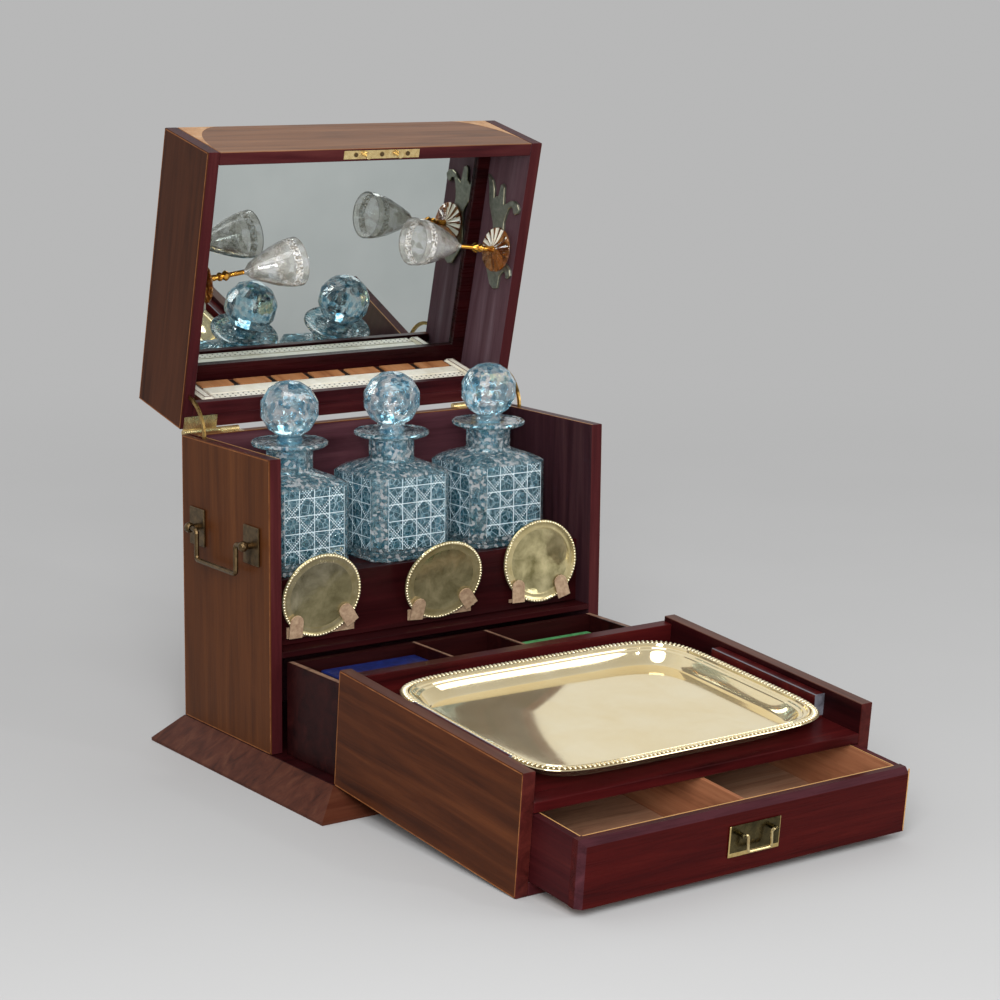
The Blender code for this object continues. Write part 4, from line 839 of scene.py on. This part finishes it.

# Coasters: shallow gilt dishes with a polished well, a frosted border painted paler as its highlight and a
# beaded rim, each at its own lean
coaster = {
    "radius": 0.045, "pitch": 0.136, "rise": 0.0062, "shift": (-0.0035, 0.0060, 0.0015),
    "lean": (10.5, 16.5, 0.0), "turn": (2.5, 5.0, 5.0), "plateFront": -0.0085, "gap": 0.0003, "steps": 96,
    "bead": 0.00155, "spacing": 0.0033, "beadRing": 0.0433, "beadHeight": 0.0022, "border": (0.0352, 0.0424),
    "profile": ((0, 0.0012), (0.0350, 0.0012), (0.0358, 0.0016), (0.0372, 0.0017), (0.0392, 0.0019),
                (0.0410, 0.0024), (0.0422, 0.0030), (0.0428, 0.0026), (0.0444, 0.0024), (0.0449, 0.0018),
                (0.0449, 0.0008), (0.0436, 0.0), (0, 0)),
}
for order, side in enumerate(("left", "middle", "right")):
    lean, turned = (math.radians(coaster[key][order]) for key in ("lean", "turn"))
    behind = coaster["radius"] * math.sqrt(1 - (math.cos(lean) * math.cos(turned)) ** 2) + coaster["gap"]
    spot = Vector(((order - 1) * coaster["pitch"] + coaster["shift"][order], coaster["plateFront"] - behind,
                   sizes["dustTop"] + coaster["rise"] + coaster["radius"] * math.cos(lean)))
    standing = (Matrix.Translation(spot) @ Matrix.Rotation(-turned, 4, "Z")
                @ Matrix.Rotation(math.pi / 2 + lean, 4, "X"))
    bm = bmesh.new()
    spun(bm, coaster["profile"], coaster["steps"])
    # The border's faces take the paler look: a painted highlight.
    for face in bm.faces:
        middle = face.calc_center_median()
        if middle.z > 0.001 and coaster["border"][0] < middle.xy.length < coaster["border"][1]:
            face.material_index = 1
    body = "coaster_body_" + side
    thing = meshObject("gilt_coaster_" + side, bm, ["coasterGilt", "coasterBorder"], body,
                       standing, True)
    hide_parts("coaster_" + side)
    ring = circleRing(coaster["beadRing"], coaster["beadHeight"], coaster["steps"])
    row("coaster_beads_" + side, beadRow, ring, True, coaster["spacing"], [coaster["bead"]] * 3, (0, 0, 1),
        "giltRim", body, "bright_gilt", standing)
print("coasters made")

# Serving tray: superellipse rings with a gadrooned rim and a stepped border round a polished well. The
# profile has insets and shares of the height.
tray = {
    "length": 0.352, "width": 0.270, "power": 6.5, "middle": 0.157, "gap": 0.0003, "points": 240,
    "height": 0.0195, "gadroon": (0.0016, 0.0036, 0.0017), "spacing": 0.0048, "gadroonInset": 0.0042,
    "gadroonRise": 0.89, "grooveRise": 0.86,
    "profile": ((0.024, 0), (0.012, 0.60), (0.0045, 0.74), (0.0012, 0.78), (0.0006, 0.82), (0.001, 0.86),
                (0.0076, 0.86), (0.0082, 0.92), (0.0094, 0.92), (0.0100, 0.82), (0.0125, 0.78),
                (0.0131, 0.72), (0.0160, 0.68), (0.0166, 0.60), (0.0205, 0.34), (0.0227, 0.15),
                (0.0245, 0.072)),
}
trayMiddle = Vector((0, front + sizes["platform"] + tray["gap"], fallLow + tray["middle"]))
trayAt = fallPlace @ Matrix.Translation(trayMiddle)


def trayRing(inset, rise):
    ring = []
    for step in range(tray["points"]):
        angle = 2 * math.pi * step / tray["points"]
        across, along = (math.copysign(abs(share) ** (2 / tray["power"]), share)
                         for share in (math.cos(angle), math.sin(angle)))
        ring.append(Vector(((tray["length"] / 2 - inset) * across, rise * tray["height"],
                            (tray["width"] / 2 - inset) * along)))
    return ring


bm = bmesh.new()
loft(bm, [trayRing(inset, rise) for inset, rise in tray["profile"]])
for face in bm.faces:
    if abs(face.calc_center_median().y - tray["grooveRise"] * tray["height"]) < 0.00001:
        face.material_index = 1
thing = meshObject("tray_body", bm, ["gilt", "grooveGilt"], "tray", trayAt, True)
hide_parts("serving_tray")
row("tray_gadroons", beadRow, trayRing(tray["gadroonInset"], tray["gadroonRise"]), True, tray["spacing"],
    tray["gadroon"], (0, 1, 0), "giltRim", "tray", "bright_gilt", trayAt)
print("tray made")

# Cribbage board: a plain and a pegged bone strip, tan blocks between dark slots, and rounded framed ends. A
# strip stands this far proud, with this edge and look; an end's layers have an inset at the sides and at the
# ends, how far they stand out and reach in, an edge and a look.
crib = {
    "half": 0.176, "back": 0.1337, "thick": 0.0105, "low": rim + 0.009, "high": rim + 0.065, "proud": 0.002,
    "end": 0.0150, "pegged": (rim + 0.0110, rim + 0.0235), "plain": (rim + 0.0250, rim + 0.0420),
    "tan": (rim + 0.0445, rim + 0.0615), "block": (0.0385, 0.0028), "slot": 0.0045, "hole": (0.0011, 0.0002),
    "holeSpacing": 0.0062, "holeRow": 0.0030, "holeEnd": 0.005, "edge": 0.0008, "endGap": 0.002,
    "bed": 0.001, "blockSunk": 0.0005, "blockGap": 0.001,
    "strips": (("pegged", 0.002, 0.0004, 1), ("plain", 0.002, 0.0004, 1), ("tan", 0.0004, 0, 3)),
    "ends": ((0.0, 0.002, 0.0032, 0.001, 0.0024, 1), (0.003, 0.006, 0.0034, 0, 0, 2),
             (0.004, 0.007, 0.0035, 0, 0, 1)),
}
cribFront, innerEnd = crib["back"] - crib["thick"], crib["half"] - crib["end"] - crib["endGap"]
low, high = crib["low"], crib["high"]
bm = bmesh.new()
addBox(bm, (-crib["half"], cribFront, low), (crib["half"], crib["back"], high), crib["edge"])
for key, out, edge, index in crib["strips"]:
    addBox(bm, (-innerEnd, cribFront - out, crib[key][0]), (innerEnd, cribFront + crib["bed"], crib[key][1]),
           edge, index)
for sign in (-1, 1):
    x0, x1 = sorted((sign * (crib["half"] - crib["bed"]), sign * (crib["half"] - crib["end"])))
    for across, along, out, sunk, edge, index in crib["ends"]:
        addBox(bm, (x0 + across, cribFront - out, low + along),
               (x1 - across, cribFront + sunk, high - along), edge, index)
thing = meshObject("crib_board", bm, ["cribWood", "bone", "cribWood", "dark"], "cribbage", lidPlace)
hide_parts("cribbage_board")
blockLong, blockThick = crib["block"]
tanMiddle, tanWide = sum(crib["tan"]) / 2, crib["tan"][1] - crib["tan"][0]
x, y = innerEnd - blockLong / 2 - crib["blockGap"], cribFront - crib["blockSunk"]
row("crib_blocks", blockRow, [(-x, y, tanMiddle), (x, y, tanMiddle)], False, blockLong + crib["slot"],
    (blockLong, tanWide - crib["blockGap"] * 2, blockThick), (0, -1, 0), "tan", "cribbage", "bone",
    lidPlace, False)
holeWide, holeDeep = crib["hole"]
# The peg holes are thin dark discs on the strip: painted shade where the holes are.
for order, shift in enumerate((-crib["holeRow"], crib["holeRow"])):
    x, y, z = innerEnd - crib["holeEnd"], cribFront - crib["proud"], sum(crib["pegged"]) / 2 + shift
    row("crib_holes_%d" % order, pegRow, [(-x, y, z), (x, y, z)], False, crib["holeSpacing"],
        (holeWide, holeWide, holeDeep), (0, -1, 0), "dark", "cribbage", "bone", lidPlace, False)
print("cribbage board made")

# Glasses lie in the lid on gilded stems, their fluted feet held in pierced brackets. The foot's rings have a
# radius, a height and the depth of the flutes; "bright" is the arc where the flutes are painted white as a
# highlight.
glass = {
    "tilt": 7.5, "footRadius": 0.0245, "wallGap": 0.0045, "depth": 0.026, "right": 0.128, "left": 0.143,
    "bowl": ((0.0002, 0.0575), (0.0062, 0.0600), (0.0120, 0.0700), (0.0163, 0.0820), (0.0198, 0.0900),
             (0.0228, 0.1000), (0.0240, 0.1070), (0.0244, 0.1137), (0.0260, 0.1140), (0.0256, 0.1070),
             (0.0243, 0.0990), (0.0212, 0.0880), (0.0180, 0.0800), (0.0134, 0.0690), (0.0089, 0.0592),
             (0.0034, 0.0535), (0.0026, 0.0500)),
    "stem": ((0.0026, 0.0500), (0.0026, 0.0335), (0.0046, 0.0310), (0.0056, 0.0288), (0.0040, 0.0262),
             (0.0028, 0.0250), (0.0046, 0.0232), (0.0046, 0.0212), (0.0028, 0.0190), (0.0034, 0.0150),
             (0.0030, 0.0100), (0.0040, 0.0060)),
    "foot": ((0.0040, 0.0060, 0), (0.0100, 0.0036, 0.0005), (0.0180, 0.0024, 0.0006),
             (0.0238, 0.0018, 0.0004), (0.0245, 0.0012, 0), (0.0245, 0, 0)),
    "etched": (0.0990, 0.1085), "flutes": 16, "perFlute": 6, "bright": (-110, 20), "white": (0.25, 0.8),
    "brightEnd": 0.0238, "bowlSteps": 48, "stemSteps": 24,
}
lying = Matrix.Rotation(math.radians(glass["tilt"]), 4, "Z") @ Matrix.Rotation(-math.pi / 2, 4, "Y")
lowest = glass["footRadius"] * math.sin(math.radians(glass["tilt"]))
bm = bmesh.new()
spun(bm, glass["bowl"], glass["bowlSteps"])
for face in bm.faces:
    if glass["etched"][0] < face.calc_center_median().z < glass["etched"][1]:
        face.material_index = 1
known = set(bm.faces)
spun(bm, glass["stem"], glass["stemSteps"])
for face in bm.faces:
    if face not in known:
        face.material_index = 2
known = set(bm.faces)


def footRing(radius, height, wave):
    ring = circleRing(radius, height, glass["flutes"] * glass["perFlute"])
    for i, point in enumerate(ring):
        point.z += wave * math.cos(2 * math.pi * i / glass["perFlute"])
    return ring


loft(bm, [footRing(*level) for level in glass["foot"]])
for face in bm.faces:
    if face not in known:
        middle = face.calc_center_median()
        angle = math.degrees(math.atan2(middle.y, middle.x))
        flute = (angle * glass["flutes"] / 360) % 1
        lit = glass["bright"][0] < angle < glass["bright"][1] and middle.xy.length < glass["brightEnd"]
        # Flutes in the lit arc take the pale white look: a painted highlight.
        face.material_index = 4 if lit and glass["white"][0] < flute < glass["white"][1] else 3
glassMesh = meshOf("glass", bm, ["clearGlass", "etchedGlass", "stemGold", "amberGlass", "bone"], True)
bracket = {
    "depth": 0.0030, "edge": 0.0006, "shift": -0.0003,
    "outline": ((-94, 67), (-90, 57), (-82, 52), (-72, 50), (-76, 43), (-89, 41), (-91, 38), (-88, 34),
                (-70, 31), (-72, 26), (-77, 20), (-79, 13), (-77, 6), (-72, 2), (-67, 4), (-64, 9),
                (-66, 12), (-70, 13), (-71, 17), (-67, 21), (-59, 24), (-50, 26), (-36, 24), (-20, 22),
                (-8, 16), (-6, 9), (-3, 3), (3, 1), (8, 5), (8, 9), (3, 10), (2, 14), (10, 20), (24, 21),
                (27, 28), (24, 36), (8, 46), (-8, 50), (-22, 47), (-36, 43), (-44, 46), (-54, 52),
                (-64, 58), (-80, 62)),
}
for sign, side in ((1, "right"), (-1, "left")):
    at = Matrix.Translation((
        sign * (innerHalf - glass["wallGap"]), front + glass[side], rim + glass["depth"]))
    mirrored = Matrix.Scale(sign, 4, (1, 0, 0))
    thing = pieceOf("cut_glass_" + side, glassMesh.copy(), "glass_" + side + "_body",
                    lidPlace @ at @ mirrored @ Matrix.Translation((-lowest, 0, 0)) @ lying)
    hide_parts("glass_" + side)
    bm = bmesh.new()
    prism(bm, [(y / 1000, z / 1000) for y, z in bracket["outline"]], bracket["depth"], bracket["edge"])
    # The outline's own X is the lid's Y, its Y is the lid's Z, and its front looks to the middle of the lid.
    standing = Matrix(((0, 0, -sign, 0), (1, 0, 0, 0), (0, 1, 0, 0), (0, 0, 0, 1)))
    wallFace = sign * (innerHalf + bracket["shift"] - bracket["depth"])
    shift = glass[side] - glass["right"]
    thing = meshObject("bracket_scroll_" + side, bm, ["patina", "patinaEdge"], "lid",
                       lidPlace @ Matrix.Translation((wallFace, shift, rim)) @ standing)
    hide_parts("glass_bracket_" + side)
print("glasses made")

# Satinwood corners on the lid's front, screws on the link plate, and lines and edges of the drawers
spandrel = {"across": 0.050, "down": 0.086, "thick": 0.0008, "edge": 0.0002, "steps": 12, "aside": 0.0006,
            "under": 0.0008}
for sign, side in ((-1, "left"), (1, "right")):
    corner = Vector((innerHalf - spandrel["aside"], sizes["lidHeight"] - spandrel["under"]))
    points = [corner]
    for i in range(spandrel["steps"] + 1):
        angle = math.pi / 2 * i / spandrel["steps"]
        points.append(corner - Vector((spandrel["across"] * (1 - math.sin(angle)),
                                       spandrel["down"] * (1 - math.cos(angle)))))
    bm = bmesh.new()
    prism(bm, [(sign * p.x, p.y) for p in points], spandrel["thick"], spandrel["edge"])
    facing = Matrix(((1, 0, 0, 0), (0, 0, -1, front - proud), (0, 1, 0, rim), (0, 0, 0, 1)))
    meshObject("spandrel_" + side, bm, ["satinwood", "boxwood"], "lid", lidPlace @ facing)
screws = {"x": (-0.032, 0.0, 0.032), "radius": 0.0024, "topRadius": 0.0018, "depth": 0.0008, "drop": 0.0003,
          "steps": 20}
bm = bmesh.new()
for x in screws["x"]:
    made = bmesh.ops.create_cone(bm, cap_ends=True, segments=screws["steps"], radius1=screws["radius"],
                                 radius2=screws["topRadius"], depth=screws["depth"])["verts"]
    bmesh.ops.translate(bm, vec=(x, front + wall / 2, rim - screws["drop"]), verts=made)
meshObject("link_plate_screws", bm, ["darkBrass"], "lid", lidPlace)

cigar = {"half": 0.1830, "top": front + 0.0765, "low": 0.0939, "frontInner": fallEnd - 0.0133, "line": 0.0011,
         "aside": 0.0004, "up": 0.0006, "lineIn": fallEnd - 0.0128, "edgeIn": 0.0002, "start": 0.0012}
x, y, wide, edge = cigar["half"], cigar["top"], cigar["line"], innerHalf - cigar["edgeIn"]
x0, x1, y0, y1 = x + cigar["aside"], x + cigar["aside"] + wide, y - depth, y + proud
bars("drawer_lines", [
    ((x0, y0, cigar["low"]), (x1, y1, cigar["frontInner"])),
    ((-x1, y0, cigar["low"]), (-x0, y1, cigar["frontInner"])),
    ((-x, y0 + cigar["up"], cigar["lineIn"]), (x, y1 + cigar["up"], cigar["lineIn"] + wide)),
    ((edge - wide, front + wall + cigar["start"], fallEnd - depth), (edge, y, fallEnd + proud))],
    "cigar_drawer", drawerPlace, "paleLine")

# The games drawer's tops: each has a middle and a thickness, and its pale strip takes a share of it.
games = {"top": 0.1205, "out": front + 0.0045, "depth": 0.108, "inset": 0.001, "share": 0.32,
         "tops": ((-0.1865, 0.008), (0.1865, 0.008), (-0.040, 0.005), (0.050, 0.005))}
y0, y1 = games["out"] + games["inset"], games["out"] + games["depth"] - games["inset"]
z0, z1 = games["top"] - depth, games["top"] + proud
strips = [((x - thick * games["share"], y0, z0), (x + thick * games["share"], y1, z1))
          for x, thick in games["tops"]]
bars("games_edges", strips, "games_drawer", None, "paleEdge")

# The tray's rests: a grey painted highlight along the top of each, and on its front end
rest = {"line": (0.0122, 0.0108), "middle": 0.006, "half": 0.006, "top": front + sizes["fallThick"] - 0.0055,
        "low": fallLow + 0.092, "high": fallLow + 0.247, "gap": 0.0004, "sunk": 0.004, "tall": 0.022}
rests = []
for sign in (-1, 1):
    x0, x1 = sorted(sign * (innerHalf - inset) for inset in rest["line"])
    middle, end = sign * (innerHalf - rest["middle"]), rest["high"] - rest["gap"]
    rests.append(((x0, rest["top"] - rest["sunk"], rest["low"] + rest["gap"]),
                  (x1, rest["top"] + proud, end)))
    rests.append(((middle - rest["half"], rest["top"] - rest["tall"], end),
                  (middle + rest["half"], rest["top"] + proud, rest["high"] + proud)))
bars("rest_edges", rests, "fall", fallPlace, "restHighlight")
print("lid and drawer details made")

# Floor, light and background. Far from the box the floor fades into the tone of the backdrop.
stage = {
    "floorTones": ("#bdbdbd", "#c1c1c1"), "floorSize": 30, "floorDrop": 0.0002, "fade": (1.2, 2.7),
    "seen": 0.604, "seenColour": "#e6e6e6", "roomSpan": (-0.6, 0.7), "roomLow": 0.42, "roomHigh": 0.95,
    "sun": 1.15, "sunAngle": 40, "sunFacing": (0.55, 0.75, -1.1),
}
bm = bmesh.new()
bmesh.ops.create_grid(bm, x_segments=1, y_segments=1, size=stage["floorSize"])
floorLook = Look("pale floor", 0.85)
floorGrain = floorLook.noise(floorLook.place, 3, 3)
floorLook.set("Base Color", floorLook.mix(floorGrain, *stage["floorTones"]))
floorLook.set("Specular IOR Level", 0.15)
away = floorLook.add("ShaderNodeVectorMath", {0: floorLook.place}, operation="LENGTH").outputs["Value"]
fade = floorLook.add("ShaderNodeMapRange", {
    "Value": away, "From Min": stage["fade"][0], "From Max": stage["fade"][1]},
    interpolation_type="SMOOTHSTEP").outputs[0]
backdrop = floorLook.add("ShaderNodeEmission", {
    "Color": stage["seenColour"], "Strength": stage["seen"]}).outputs[0]
floorEnd = floorLook.add("ShaderNodeMixShader", {
    0: fade, 1: floorLook.shader.outputs[0], 2: backdrop}).outputs[0]
floorLook.tree.links.new(floorEnd, floorLook.tree.nodes["Material Output"].inputs["Surface"])
looks["floor"] = floorLook.material
floorObject = bpy.data.objects.new("floor", meshOf("floor", bm, ["floor"]))
floorObject.location = (0, 0, -stage["floorDrop"])
bpy.context.scene.collection.objects.link(floorObject)
floorObject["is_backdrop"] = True

# The world is a soft grey room, brighter behind and above the box than in front of it. Seen by the camera it
# has the floor's own tone.
world = bpy.data.worlds.new("world")
bpy.context.scene.world = world
world.use_nodes = True
room = world.node_tree
generated = addNode(room, "ShaderNodeTexCoord").outputs["Generated"]
axes = addNode(room, "ShaderNodeSeparateXYZ", {0: generated}).outputs
shade = addNode(room, "ShaderNodeMapRange", {
    "Value": axes["Y"], "From Min": stage["roomSpan"][0], "From Max": stage["roomSpan"][1],
    "To Min": stage["roomLow"], "To Max": stage["roomHigh"]}).outputs[0]
seen = addNode(room, "ShaderNodeLightPath").outputs["Is Camera Ray"]
strength = addNode(room, "ShaderNodeMix", {0: seen, 2: shade, 3: stage["seen"]}, data_type="FLOAT").outputs[0]
room.links.new(strength, room.nodes["Background"].inputs["Strength"])
room.nodes["Background"].inputs["Color"].default_value = linear(stage["seenColour"])


def addLamp(name, kind, facing, power, place=(0, 0, 0)):
    lamp = bpy.data.objects.new(name, bpy.data.lights.new(name, kind))
    lamp.data.energy = power
    lamp.location = place
    lamp.rotation_euler = Vector(facing).to_track_quat("-Z", "Y").to_euler()
    bpy.context.scene.collection.objects.link(lamp)
    return lamp.data


# Softboxes: place, target, size and power. The two sparks give the glass and the gilt their small highlights.
softboxes = {
    "front fill": ((-1.35, -2.1, 0.9), (0, -0.1, 0.25), 0.8, 26),
    "right fill": ((1.6, -1.9, 0.9), (0, -0.1, 0.2), 0.9, 9),
    "left spark": ((-1.5, -1.5, 1.5), (0, 0.05, 0.3), 0.12, 3.5),
    "right spark": ((0.7, -2.0, 1.4), (0, 0.05, 0.3), 0.12, 3.5),
    "drawer fill": ((-0.9, -1.3, 0.75), (0.05, -0.4, 0.05), 0.3, 3),
}
addLamp("soft sun", "SUN", stage["sunFacing"], stage["sun"]).angle = math.radians(stage["sunAngle"])
for name, (place, target, size, power) in softboxes.items():
    addLamp(name, "AREA", Vector(target) - Vector(place), power, place).size = size

bpy.context.scene.view_settings.view_transform = "Standard"
low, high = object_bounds()
print("scene finished")
